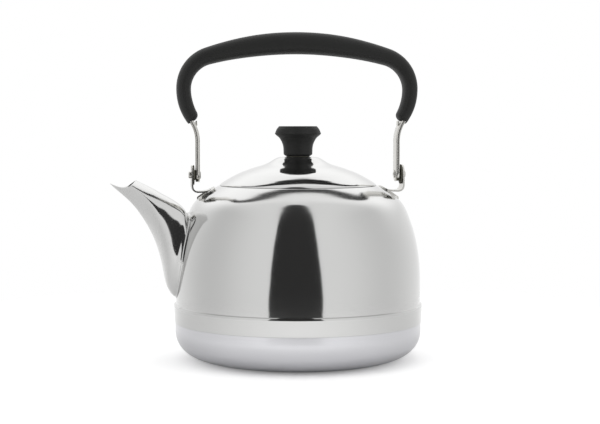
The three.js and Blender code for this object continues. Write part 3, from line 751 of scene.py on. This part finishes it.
def spout_point(around, along, inset):
    """A point of the spout's skin: around is an angle, along runs from 0 at the root to 1
    beyond the lip. Across the section goes sin a and up it cos a, both made boxy; the part
    above the widest place and the part below it are stretched to meet there."""
    around, along = np.broadcast_arrays(around, along)
    rows = len(SPOUT_SECTIONS)
    row = spline(np.arange(rows), SPOUT_SECTIONS, np.ravel(along) * (rows - 1))
    columns = (row[:, k].reshape(along.shape) for k in range(7))
    low_x, low_z, high_x, high_z, wide, power, widest = columns
    root = body_reach(SPOUT_FOOT + SPOUT_SECTIONS[1][3] * SPOUT_RISE)
    lower = -WALL_RADIUS - low_x * SPOUT_REACH, SPOUT_FOOT + low_z * SPOUT_RISE
    upper = -root - high_x * SPOUT_REACH, SPOUT_FOOT + high_z * SPOUT_RISE
    power = np.where(np.cos(around) > 0, power, np.minimum(power, 2))
    across, upward = boxy(np.sin(around), power), boxy(np.cos(around), power)
    spread = [upper[k] - lower[k] for k in range(2)]
    share = widest + np.where(upward > 0, 1 - widest, widest) * upward
    share = 0.5 + (share - 0.5) * (1 - 2 * inset / np.hypot(*spread))
    x, z = (lower[k] + spread[k] * share for k in range(2))
    y = across * (wide * SPOUT_HALF * (1 + SPOUT_EGG * upward) - inset)
    return grid_of(x, y, z)


print("spout sections:", len(SPOUT_SECTIONS))

# %% [markdown]
# The skin of the spout is trimmed twice: it starts where it comes out of the body, and it ends
# at the lip, a shallow curve that dips between the tip and the heel. Both places are found for
# all lines of the skin at once, on a fine scale along each line.

# %% Spout trimming
LIP_LENGTH, LIP_DIP, LIP_EARLIEST = 0.39 * SPOUT_REACH, 3.0, 0.45
ROOT_GAP, FINE_STEPS, SPOUT_LINES = 0.05, 1500, 180
lip_shares = np.array(
    [[-0.35, 1], [0, 0], [0.3, -0.8], [0.62, -1], [0.85, -0.2], [1.02, 0.8], [1.4, 2]])
lip_points = lip_shares * [LIP_LENGTH, LIP_DIP] + [
    -WALL_RADIUS - SPOUT_REACH, SPOUT_FOOT + SPOUT_RISE]
lip_line = through(lip_points, count=200)


def trim(around, inset):
    """Where each line of the skin is clear of the body by a hair, and where it meets the lip."""
    fine = np.linspace(0, 1, FINE_STEPS)
    grid = spout_point(around, fine[:, None], inset)
    inside = np.hypot(grid[..., 0], grid[..., 1]) < body_reach(grid[..., 2]) + ROOT_GAP
    start = len(fine) - 1 - np.argmax(inside[::-1], axis=0)
    over = grid[..., 2] > np.interp(grid[..., 0], lip_line[:, 0], lip_line[:, 1])
    over &= fine[:, None] > LIP_EARLIEST
    end = np.argmax(over, axis=0)
    return fine[start], fine[end]


around = np.linspace(0, 2 * np.pi, SPOUT_LINES, endpoint=False)
root_at, lip_at = trim(around, 0)
print("root between", root_at.min().round(3), "and", root_at.max().round(3))
print("lip between", lip_at.min().round(3), "and", lip_at.max().round(3))

# %% [markdown]
# The spout's piece is one closed shell: a rolled bead that lies on the body all round the foot,
# a crease, the outside up to the lip, a rounded lip, and the inside back down. The bead is an
# arc round a line that runs beside the foot: centre + outward * cos t + normal * sin t, where
# outward means away from the spout within the body's surface, and the normal stands on the body.
# It is thinner at the spout's lowest point.

# %% Spout
BEAD_OUT, BEAD_HIGH, BEAD_RADIUS, BEAD_CREASE = 1.15, 0.3, 0.95, 0.9
BEAD_FIRST, BEAD_LAST = math.radians(-20), math.radians(155)
BEAD_FOOT, BEAD_GROWTH, BEAD_SINK, LIP_ROUND = 0.35, 14.0, 0.3, 0.7
FLATTEST = 1e-3


def smooth_ring(values, width=2.2):
    """Evens out a ring of n numbers with a short bell-shaped average, taken with the FFT: of a
    wave that comes k times round the ring, exp(-20 * (k * width / n) ** 2) is kept."""
    waves = np.fft.rfft(values)
    kept = np.exp(-20 * (np.arange(len(waves)) * width / len(values)) ** 2)
    return np.fft.irfft(waves * kept, len(values))


def spout_skins():
    """Outside from the root to the lip, and inside from the lip back to the root."""
    steps = np.linspace(0, 1, 110)[:, None]
    start, end = smooth_ring(root_at), smooth_ring(lip_at)
    outside = spout_point(around, start + (end - start) * steps, 0)
    start, end = (smooth_ring(at) for at in trim(around, SHEET))
    inside = spout_point(around, end + (start - end) * steps, SHEET)
    return outside, inside


def body_directions(ring):
    """Two unit vectors at each point of a ring on the body. The normal is the way out from the
    axis, raised by the slope of the body's line, and outward is the normal crossed with the
    ring's own direction, turned to point away from the ring's middle."""
    radii, heights = body_radius.T
    slope = -np.diff(radii) / np.maximum(np.diff(heights), FLATTEST)
    normal = unit(ring * [1, 1, 0])
    normal[:, 2] = np.interp(ring[:, 2], heights[1:], slope)
    normal = unit(normal)
    outward = unit(np.cross(normal, np.roll(ring, -1, axis=0) - np.roll(ring, 1, axis=0)))
    outward *= np.sign(np.sum(outward * (ring - ring.mean(axis=0)), axis=1))[:, None]
    return outward, normal


def spout_shell():
    """The shell's rows in order: the bead's edge, the bead, the crease, the outside, the lip,
    which is middle + half * cos a + high * sin a, and the inside."""
    outside, inside = spout_skins()
    root, rise = outside[0], unit(outside[3] - outside[0])
    outward, normal = body_directions(root)
    size = BEAD_FOOT + (1 - BEAD_FOOT) * np.clip((root[:, 2:] - SPOUT_FOOT) / BEAD_GROWTH, 0, 1)
    outward, normal = outward * size, normal * size
    t = np.linspace(BEAD_FIRST, BEAD_LAST, 14)[:, None, None]
    bead = root + outward * (BEAD_OUT + BEAD_RADIUS * np.cos(t))
    bead = bead + normal * (BEAD_HIGH + BEAD_RADIUS * np.sin(t))
    crease = (root + rise * BEAD_CREASE)[None]
    keep = np.linalg.norm(outside - root, axis=2) > 2 * BEAD_CREASE
    first = int(np.argmax(keep.all(axis=1)))
    edge = (root + outward * (BEAD_OUT + BEAD_RADIUS) - normal * BEAD_SINK)[None]
    middle, half = (outside[-1] + inside[0]) / 2, (outside[-1] - inside[0]) / 2
    high = unit(outside[-1] - outside[-3]) * np.linalg.norm(half, axis=1)[:, None] * LIP_ROUND
    angles = np.linspace(0, np.pi, 6)[1:-1, None, None]
    lip = middle + np.cos(angles) * half + np.sin(angles) * high
    grid = np.concatenate([edge, bead, crease, outside[first:], lip, inside])
    return skin("pouring_spout", grid, ring=True)


dress(spout_shell(), steel, "body", "polished_steel", "spout")

# %% [markdown]
# The body is turned from its line, and the opening into the spout is cut out of it with a
# Boolean, whose result is kept as the mesh, because nothing of a live modifier is needed later.
# The cutter is the spout's own skin, drawn in by the ledge that the weld sits on.

# %% Body
def cut(piece, cutter):
    """Takes the cutter away from the piece and keeps the result as the piece's mesh."""
    step = piece.modifiers.new("cut", "BOOLEAN")
    step.operation, step.solver, step.object = "DIFFERENCE", "EXACT", cutter
    shape = piece.evaluated_get(bpy.context.evaluated_depsgraph_get())
    mesh = bpy.data.meshes.new_from_object(shape)
    piece.modifiers.clear()
    piece.data = mesh
    bpy.data.objects.remove(cutter)
    mesh.shade_smooth()
    mesh.set_sharp_from_angle(angle=math.radians(SHARP))


POUR_LEDGE, PLUG_START, PLUG_END = 3.0, 0.02, 0.34
kettle_body = skin("kettle_body", lathe(sheet_loop(body_line, SHEET)), ring=True)
reach = np.linspace(PLUG_START, PLUG_END, 24)[:, None]
plug = spout_point(around[::3], reach, SHEET + POUR_LEDGE)
ends = [np.broadcast_to(plug[k].mean(axis=0), plug[k].shape)[None] for k in (0, -1)]
plug = skin("spout_plug", np.concatenate([ends[0], plug, ends[1]]))
cut(kettle_body, plug)
dress(kettle_body, steel, "body", "polished_steel", "body_shell")

# %% [markdown]
# The pan is flat underneath and turns up through a full, egg-like corner into a short wall that
# is hidden inside the band. The corner is a quarter of a superellipse, because an arc would be
# too sharp where it meets the flat.

# %% Pan
PAN_RADIUS, PAN_TOP, NEAR_AXIS = 94.1, 40.1, 0.01
PAN_CORNER_HIGH, PAN_CORNER_WIDE, PAN_POWER = 24.0, 34.0, 2.35
angles = np.linspace(0, np.pi / 2, 120)[:, None]
corner = np.concatenate([
    PAN_RADIUS - PAN_CORNER_WIDE + PAN_CORNER_WIDE * boxy(np.sin(angles), PAN_POWER),
    PAN_CORNER_HIGH * (1 - boxy(np.cos(angles), PAN_POWER)),
], axis=1)
pan_line = spaced(np.concatenate([[[NEAR_AXIS, 0]], corner, [[PAN_RADIUS, PAN_TOP]]]), step=1.0)
pan_line[0, 0] = 0
pan_inside = pan_line + left_normals(pan_line) * SHEET
pan_inside[0] = (0, SHEET)
pan_section = np.concatenate([pan_line, pan_inside[::-1]])
pan = skin("pan", lathe(pan_section))
dress(pan, satin, "body", "satin_steel", "base_pan")

# %% [markdown]
# The lid is a low dome with a turned-down rim and a small flat boss in the middle that carries
# the knob. Like the shoulder, its line is one smooth curve through shares of its radius and
# rise. Under it sits a ring that drops into the mouth, whose top is bent inwards to lie against
# the dome.

# %% Lid
LID_SEAT, LID_RADIUS, LID_RISE, RIM_EDGE = 133.2, 59.9, 21.5, 0.35
BOSS_SHARE, SCREW_HOLE = 0.1, 2.3
COLLAR_RADIUS, COLLAR_DROP, COLLAR_FLANGE, COLLAR_BEND = 56.6, 9, 6, 1.2
COLLAR_GAPS = (1.35, 1.1)
dome_shares = np.array([
    [0.991, 0.042], [0.9833, 0.0595], [0.9733, 0.0806], [0.9616, 0.1036], [0.9482, 0.128],
    [0.9299, 0.1598], [0.9082, 0.196], [0.8848, 0.2345], [0.8598, 0.2738], [0.8264, 0.3236],
    [0.7896, 0.3772], [0.7563, 0.4214], [0.7279, 0.4554], [0.7012, 0.4854], [0.6678, 0.5192],
    [0.626, 0.5606], [0.5843, 0.6013], [0.5509, 0.6316], [0.5175, 0.6585], [0.4758, 0.6918],
    [0.4341, 0.7296], [0.4007, 0.7662], [0.3723, 0.8053], [0.3422, 0.8549], [0.3139, 0.9048],
    [0.2871, 0.9479], [0.2604, 0.9806], [0.2349, 1],
])
dome = through(dome_shares * [LID_RADIUS, LID_RISE] + [0, LID_SEAT], count=160)
boss = [[r, LID_SEAT + LID_RISE] for r in (BOSS_SHARE * LID_RADIUS, SCREW_HOLE)]
dome = np.concatenate([[[LID_RADIUS, LID_SEAT + RIM_EDGE]], dome, boss])
lid_sheet = skin("lid_sheet", lathe(sheet_loop(dome, SHEET)), ring=True)
dress(lid_sheet, steel, "lid", "polished_steel", "lid_dome")

flange = np.array([COLLAR_RADIUS, COLLAR_RADIUS - COLLAR_FLANGE])
flange_top = np.interp(-flange, -dome[:, 0], dome[:, 1]) - COLLAR_GAPS
collar = rounded(
    [(COLLAR_RADIUS, LID_SEAT - COLLAR_DROP), *zip(flange, flange_top)], [COLLAR_BEND])
lid_ring = skin("lid_ring", lathe(sheet_loop(spaced(collar, step=0.7), SHEET)), ring=True)
dress(lid_ring, satin, "lid", "satin_steel", "lid_collar")

# %% [markdown]
# The knob is a mushroom: a waist on the washer, a hollow flare that swells outwards to a crisp
# edge, a sloping shoulder and a flat top. It is hollow below for its brass insert. A line with
# its own radius at every corner is turned, which keeps the edges as sharp as the mould's. The
# washer under it is a flat ring.

# %% Knob
KNOB_SEAT, KNOB_HIGH, KNOB_RADIUS = 155.5, 22.6, 17.7
KNOB_EDGES = (0.3, 0.5, 0.8, 8, 8, 8, 5, 2, 0.6, 3, 0.8)
WASHER_RADIUS, WASHER_LOW, WASHER_HIGH, WASHER_EDGE = 9, 154.8, 155.4, 0.2
knob_shares = np.array([
    [0.24, 0.46], [0.24, 0.0], [0.54, 0], [0.62, 0.05], [0.63, 0.27], [0.655, 0.38], [0.705, 0.48],
    [0.8, 0.61], [0.93, 0.69], [1, 0.745], [0.92, 0.9], [0.815, 1.0], [0.0, 1.0],
])
knob_points = knob_shares * [KNOB_RADIUS, KNOB_HIGH] + [0, KNOB_SEAT]
knob_line = rounded(knob_points, KNOB_EDGES, steps=6)
knob_line = np.concatenate([[[0, knob_line[0][1]]], knob_line])
lid_knob = skin("lid_knob", lathe(knob_line, sides=160), sharp=50)
dress(lid_knob, resin, "lid", "black_resin", "knob")
washer = ring_section(SCREW_HOLE, WASHER_RADIUS, WASHER_LOW, WASHER_HIGH, WASHER_EDGE, steps=3)
seat_washer = skin("seat_washer", lathe(washer, sides=96))
dress(seat_washer, fibre, "lid", "dark_fibre", "knob_seat_washer")

# %% [markdown]
# The bail is an arch of circles with three radii on two straight arms, symmetric about the
# kettle's axis. A station of it is a place in the XZ plane and the angle of its outward normal.
# The grip follows the arch, and the strap runs a little outside it and turns into the arms, so
# both are drawn from the same stations and stay together when a radius changes.

# %% The arch
PIVOT = 141.2
ARM_CENTRE = 76.7
GRIP_RISE, GRIP_FLARE = 99.9, 10.4
CROWN_RADIUS, CORNER_RADIUS, LEG_RADIUS = 240.0, 26.0, 40.0
half_span = ARM_CENTRE + GRIP_FLARE
corner_x, leg_x = half_span - CORNER_RADIUS, half_span - LEG_RADIUS
crown_half = math.asin(corner_x / (CROWN_RADIUS - CORNER_RADIUS))
crown_z = GRIP_RISE - CROWN_RADIUS
corner_z = crown_z + math.sqrt((CROWN_RADIUS - CORNER_RADIUS) ** 2 - corner_x**2)


def arc(x, z, radius, start, end, step, side=1):
    """Stations on a circle: centre + radius * (cos a, sin a), with the angle a."""
    a = np.linspace(start, end, max(int(abs(end - start) * radius / step), 2) + 1)
    return np.stack([x + side * radius * np.cos(a), z + side * radius * np.sin(a), a], axis=1)


def arch(offset, sweep, step=1.2):
    """Right half of the arch, from the leg's end to the top, moved out by an offset."""
    up = math.pi / 2
    leg = arc(leg_x, corner_z, LEG_RADIUS + offset, -sweep, 0, step)
    bend = arc(corner_x, corner_z, CORNER_RADIUS + offset, 0, up - crown_half, step)
    crown = arc(0, crown_z, CROWN_RADIUS + offset, up - crown_half, up, step)
    return np.concatenate([leg[:-1], bend[:-1], crown])


def mirrored(stations):
    """The half arch and its mirror image, as one row without the top station twice."""
    other = stations[::-1] * [-1, 1, -1] + [0, 0, math.pi]
    return np.concatenate([stations, other[1:]])


def place(stations, across, outward):
    """Points at stations: across is along Y, outward along the station's normal."""
    x, z, a = (stations[:, k, None] for k in range(3))
    return grid_of(x + outward * np.cos(a), across, PIVOT + z + outward * np.sin(a))


print("arch spans", 2 * half_span, "mm and rises", GRIP_RISE, "mm over the pivots")

# %% [markdown]
# The grip is moulded round the strap. Its section is a superellipse that is thickest at the top
# of the arch and thins towards the legs. Thickness and width follow smooth curves through
# shares of the way from the top to an end. Each end is cut off at a slant: it draws in from the
# inner side, so that the outer side runs on a little further down the arm.

# %% Grip
LEG_SWEEP, GRIP_THICK, GRIP_WIDE, GRIP_POWER, GRIP_END = math.radians(30), 16.8, 21.0, 2.4, 4.6
END_SIZE, END_SLANT = 0.5, 0.75
thick_shares = np.array([
    [0, 1], [0.28, 0.95], [0.42, 0.87], [0.55, 0.79], [0.7, 0.71], [0.83, 0.655], [0.93, 0.65],
    [1, 0.62]])
wide_shares = np.array([[0, 1], [0.57, 0.95], [0.83, 0.92], [1, 0.8]])


def grip_shell():
    """Each row is a boxy ellipse: outward cos a times half the thickness, across sin a times
    half the width. At an end the rows run on by a quarter circle, shrink and slide outwards,
    and the last one closes to a point."""
    stations = mirrored(arch(0, LEG_SWEEP))
    walked = np.concatenate([[0], np.cumsum(np.hypot(*np.diff(stations[:, :2], axis=0).T))])
    away = np.abs(2 * walked / walked[-1] - 1)
    thick = GRIP_THICK * spline(thick_shares[:, 0], thick_shares[:, 1:], away)[:, 0]
    wide = GRIP_WIDE * spline(wide_shares[:, 0], wide_shares[:, 1:], away)[:, 0]
    angles = np.linspace(0, 2 * np.pi, 96, endpoint=False)
    across, outward = boxy(np.sin(angles), GRIP_POWER), boxy(np.cos(angles), GRIP_POWER)
    t = np.append(np.linspace(0, np.pi / 2, 9)[1:], np.pi / 2)
    along, shrunk = GRIP_END * np.sin(t), END_SIZE + (1 - END_SIZE) * np.cos(t)
    shrunk[-1] = 0
    ends = []
    for (x, z, a), sense in ((stations[0], 1), (stations[-1], -1)):
        step = sense * along
        ends.append(np.stack([x + step * np.sin(a), z - step * np.cos(a), a + 0 * t], axis=1))
    size = np.concatenate([shrunk[::-1], np.ones(len(stations)), shrunk])[:, None]
    slant = (1 - np.maximum(size, END_SIZE)) * END_SLANT
    half_thick, half_wide = (np.pad(v, len(t), mode="edge")[:, None] / 2 for v in (thick, wide))
    grid = place(np.concatenate([ends[0][::-1], stations, ends[1]]),
                 across * half_wide * size, (outward * size + slant) * half_thick)
    return skin("moulded_grip", grid, sharp=60)


dress(grip_shell(), resin, "bail", "black_resin", "grip")

# %% [markdown]
# The strap is a U channel, open outwards. Each arm leaves the grip slanting inwards, bends, and
# drops straight to its pivot, where the web ends in a half round and the flanges are cut back.
# The whole strap is one section carried along its path, whose half width and flange height
# change at the ends.

# %% Strap
CHANNEL_WIDE, CHANNEL_DEEP, CHANNEL_WALL = 13.0, 2.8, 1.0
CORNER_OUTSIDE, CORNER_INSIDE, FLANGE_TIP = 1.5, 0.5, 0.3
STRAP_SWEEP, STRAP_OFFSET, ARM_SLANT = math.radians(29), 1.6, 7.0
TAIL, CUTBACK, RAMP = 5.5, 2.8, 0.3


def strap_stations():
    """Stations from one tail to the other. The bend has the radius that brings the slanting
    arm upright at ARM_CENTRE: the way that is left, divided by 1 - cos of the sweep."""
    upper = arch(STRAP_OFFSET, STRAP_SWEEP)
    end_x, end_z = upper[0][:2]
    radius = (end_x - ARM_SLANT * math.sin(STRAP_SWEEP) - ARM_CENTRE) / (1 - math.cos(STRAP_SWEEP))
    bend_z = end_z - ARM_SLANT * math.cos(STRAP_SWEEP) - radius * math.sin(STRAP_SWEEP)
    bend = arc(ARM_CENTRE + radius, bend_z, radius, 0, -STRAP_SWEEP, step=0.8, side=-1)
    half = CHANNEL_WIDE / 2
    heights = np.concatenate([
        half * (1 - np.cos(np.linspace(0, np.pi / 2, 24))) - TAIL,
        np.linspace(half - TAIL, bend_z, 24)[1:-1]])
    straight = np.stack([np.full(len(heights), ARM_CENTRE), heights, 0 * heights], axis=1)
    return mirrored(np.concatenate([straight, bend, upper]))


def strap_shell():
    """Half width: that of a circle at the tail, and of the full channel above it. Flange
    height: the web's thickness up to the cut, then the full depth over a short ramp. The
    section is a row of insets from the edge and of heights over the side towards the kettle."""
    stations = strap_stations()
    half, deep, wall = CHANNEL_WIDE / 2, CHANNEL_DEEP, CHANNEL_WALL
    z = stations[:, 1]
    drop = np.clip(half - TAIL - z, 0, half)
    wide = np.sqrt(np.maximum(half**2 - drop**2, 0))[:, None]
    flange = wall + (deep - wall) * np.clip((z + CUTBACK) / RAMP + 0.5, 0, 1)[:, None]
    tip_low = deep - FLANGE_TIP
    sin, cos = (f(np.radians([0, 22, 45, 68, 90])) for f in (np.sin, np.cos))
    inset = np.concatenate([
        CORNER_OUTSIDE * (1 - sin), [0, FLANGE_TIP, wall - FLANGE_TIP, wall],
        wall + CORNER_INSIDE * (1 - cos)])
    height = np.concatenate([
        CORNER_OUTSIDE * (1 - cos), [tip_low, deep, deep, tip_low],
        wall + CORNER_INSIDE * (1 - sin)])
    low = np.minimum(height, flange - np.where(height >= tip_low, deep - height, 0))
    half_wide = np.maximum(wide - inset, 0)
    across = np.concatenate([-half_wide, half_wide[:, ::-1]], axis=1)
    outward = np.concatenate([low, low[:, ::-1]], axis=1) - deep / 2
    return skin("bail_channel", place(stations, across, outward), sharp=35)


dress(strap_shell(), plated, "bail", "plated_steel", "bail_strap")

# %% [markdown]
# Just below each end of the grip a small tongue is struck out of the arm's inner face, so that
# the grip can't slide down. It is a thin tapered bar that leaves the arm and stands off near the
# grip: a rounded section carried along a short slanting line.

# %% Grip stops
SIDES = ((-1, "front"), (1, "rear"))
STOP_FREE_END, STOP_ROOT, STOP_GAP = 6.0, 9.8, 0.1
STOP_WIDE, STOP_THICK, STOP_LIFT, STOP_POWER, STOP_TAPER = 6.0, 1.5, 1.7, 10 / 3, 1 / 9


def grip_stop(side, where):
    """Boxy ellipses along a line from the arm's face, at the low end, up towards the grip."""
    end_x, end_z = arch(STRAP_OFFSET, STRAP_SWEEP)[0][:2]
    down = np.array([-math.sin(STRAP_SWEEP), -math.cos(STRAP_SWEEP)])
    inward = np.array([-math.cos(STRAP_SWEEP), math.sin(STRAP_SWEEP)])
    face = np.array([end_x, end_z]) + inward * (CHANNEL_DEEP / 2 + STOP_GAP)
    t = np.linspace(0, 1, 12)[:, None]
    middle = face + down * (STOP_ROOT + (STOP_FREE_END - STOP_ROOT) * t) + inward * STOP_LIFT * t
    angles = np.linspace(0, 2 * np.pi, 40, endpoint=False)
    flat = boxy(np.cos(angles), STOP_POWER) * STOP_WIDE / 2
    through_it = boxy(np.sin(angles), STOP_POWER) * STOP_THICK / 2
    size = np.sqrt(np.clip(np.minimum(t, 1 - t) / STOP_TAPER, 0, 1))
    x = middle[:, :1] + inward[0] * through_it * size
    z = middle[:, 1:] + inward[1] * through_it * size
    grid = grid_of(side * x, flat * size, PIVOT + z)
    return skin(f"{where}_grip_stop", grid, sharp=50)


for side, where in SIDES:
    dress(grip_stop(side, where), plated, "bail", "plated_steel")

# %% [markdown]
# Each pivot is a small stack along X: a rivet with its head outside the ear, a fibre disc
# against the ear, and a fibre bush in the channel. All are turned pieces, so each is a section
# turned about Z and then laid on its side. Places along X are distances from the kettle's axis.

# %% Pivots
def lathe_across(section, side, sides=96):
    """A section of (radius, place along X) turned about the pivot line."""
    grid = lathe(np.asarray(section, float), sides)
    along, up, across = grid[..., 2], grid[..., 0], grid[..., 1]
    return np.stack([side * along, side * across, PIVOT + up], axis=-1)


RIVET_RADIUS, DRILL_RADIUS, DRILL_END = 2.0, 1.2, 78.5
UPSET_RADIUS, UPSET_START, UPSET_END = 3.0, 74.5, 75.0
HEAD_RADIUS, HEAD_START, HEAD_END = 2.6, 81.85, 83.75
PIVOT_BORE, BUSH_RADIUS, BUSH_NECK = 2.3, 5.2, 3.85
BUSH_START, BUSH_STEP, BUSH_END, BUSH_SEAM = 76.6, 78.2, 79.15, 77.5
DISC_RADIUS, DISC_START, DISC_END, DISC_EDGE = 7.5, 79.45, 80.25, 0.25
rivet = rounded(
    [(0, DRILL_END), (DRILL_RADIUS, DRILL_END), (DRILL_RADIUS, UPSET_START),
     (UPSET_RADIUS, UPSET_START), (UPSET_RADIUS, UPSET_END), (RIVET_RADIUS, UPSET_END),
     (RIVET_RADIUS, HEAD_START), (HEAD_RADIUS, HEAD_START), (HEAD_RADIUS, HEAD_END),
     (0, HEAD_END)], [0.1, 0.2, 0.3, 0.1, 0.1, 0.1, 0.1, 0.8], steps=5)
bush = rounded(
    [(PIVOT_BORE, BUSH_SEAM), (PIVOT_BORE, BUSH_START), (BUSH_RADIUS, BUSH_START),
     (BUSH_RADIUS, BUSH_STEP), (BUSH_NECK, BUSH_STEP), (BUSH_NECK, BUSH_END),
     (PIVOT_BORE, BUSH_END), (PIVOT_BORE, BUSH_SEAM)], [0.1, 0.25, 0.25, 0.1, 0.1, 0.1], steps=4)
disc = ring_section(PIVOT_BORE, DISC_RADIUS, DISC_START, DISC_END, DISC_EDGE, steps=4)
PIVOT_PARTS = (
    ("pivot_rivet", rivet, plated, "plated_steel", "rivet"),
    ("pivot_bush", bush, fibre, "dark_fibre", "bush"),
    ("pivot_disc", disc, fibre, "dark_fibre", "friction_disc"))
for side, where in SIDES:
    for part, section, finish, slot, node in PIVOT_PARTS:
        piece = skin(f"{where}_{part}", lathe_across(section, side))
        dress(piece, finish, "body", slot, f"{where}_{node}")

# %% [markdown]
# What stays of the CAD model only needs its finish: the ears, and the fastener inside the knob.

# %% CAD pieces that stay
STAYING = {
    "front_ear": plated, "rear_ear": plated,
    "knob_insert": brass, "knob_screw": plated, "knob_screw_washer": plated,
}
for name, finish in STAYING.items():
    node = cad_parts[name]
    node.data.materials.clear()
    node.data.materials.append(finish)
print("finished CAD pieces:", ", ".join(STAYING))

# %% Last update of the view layer
bpy.context.view_layer.update()
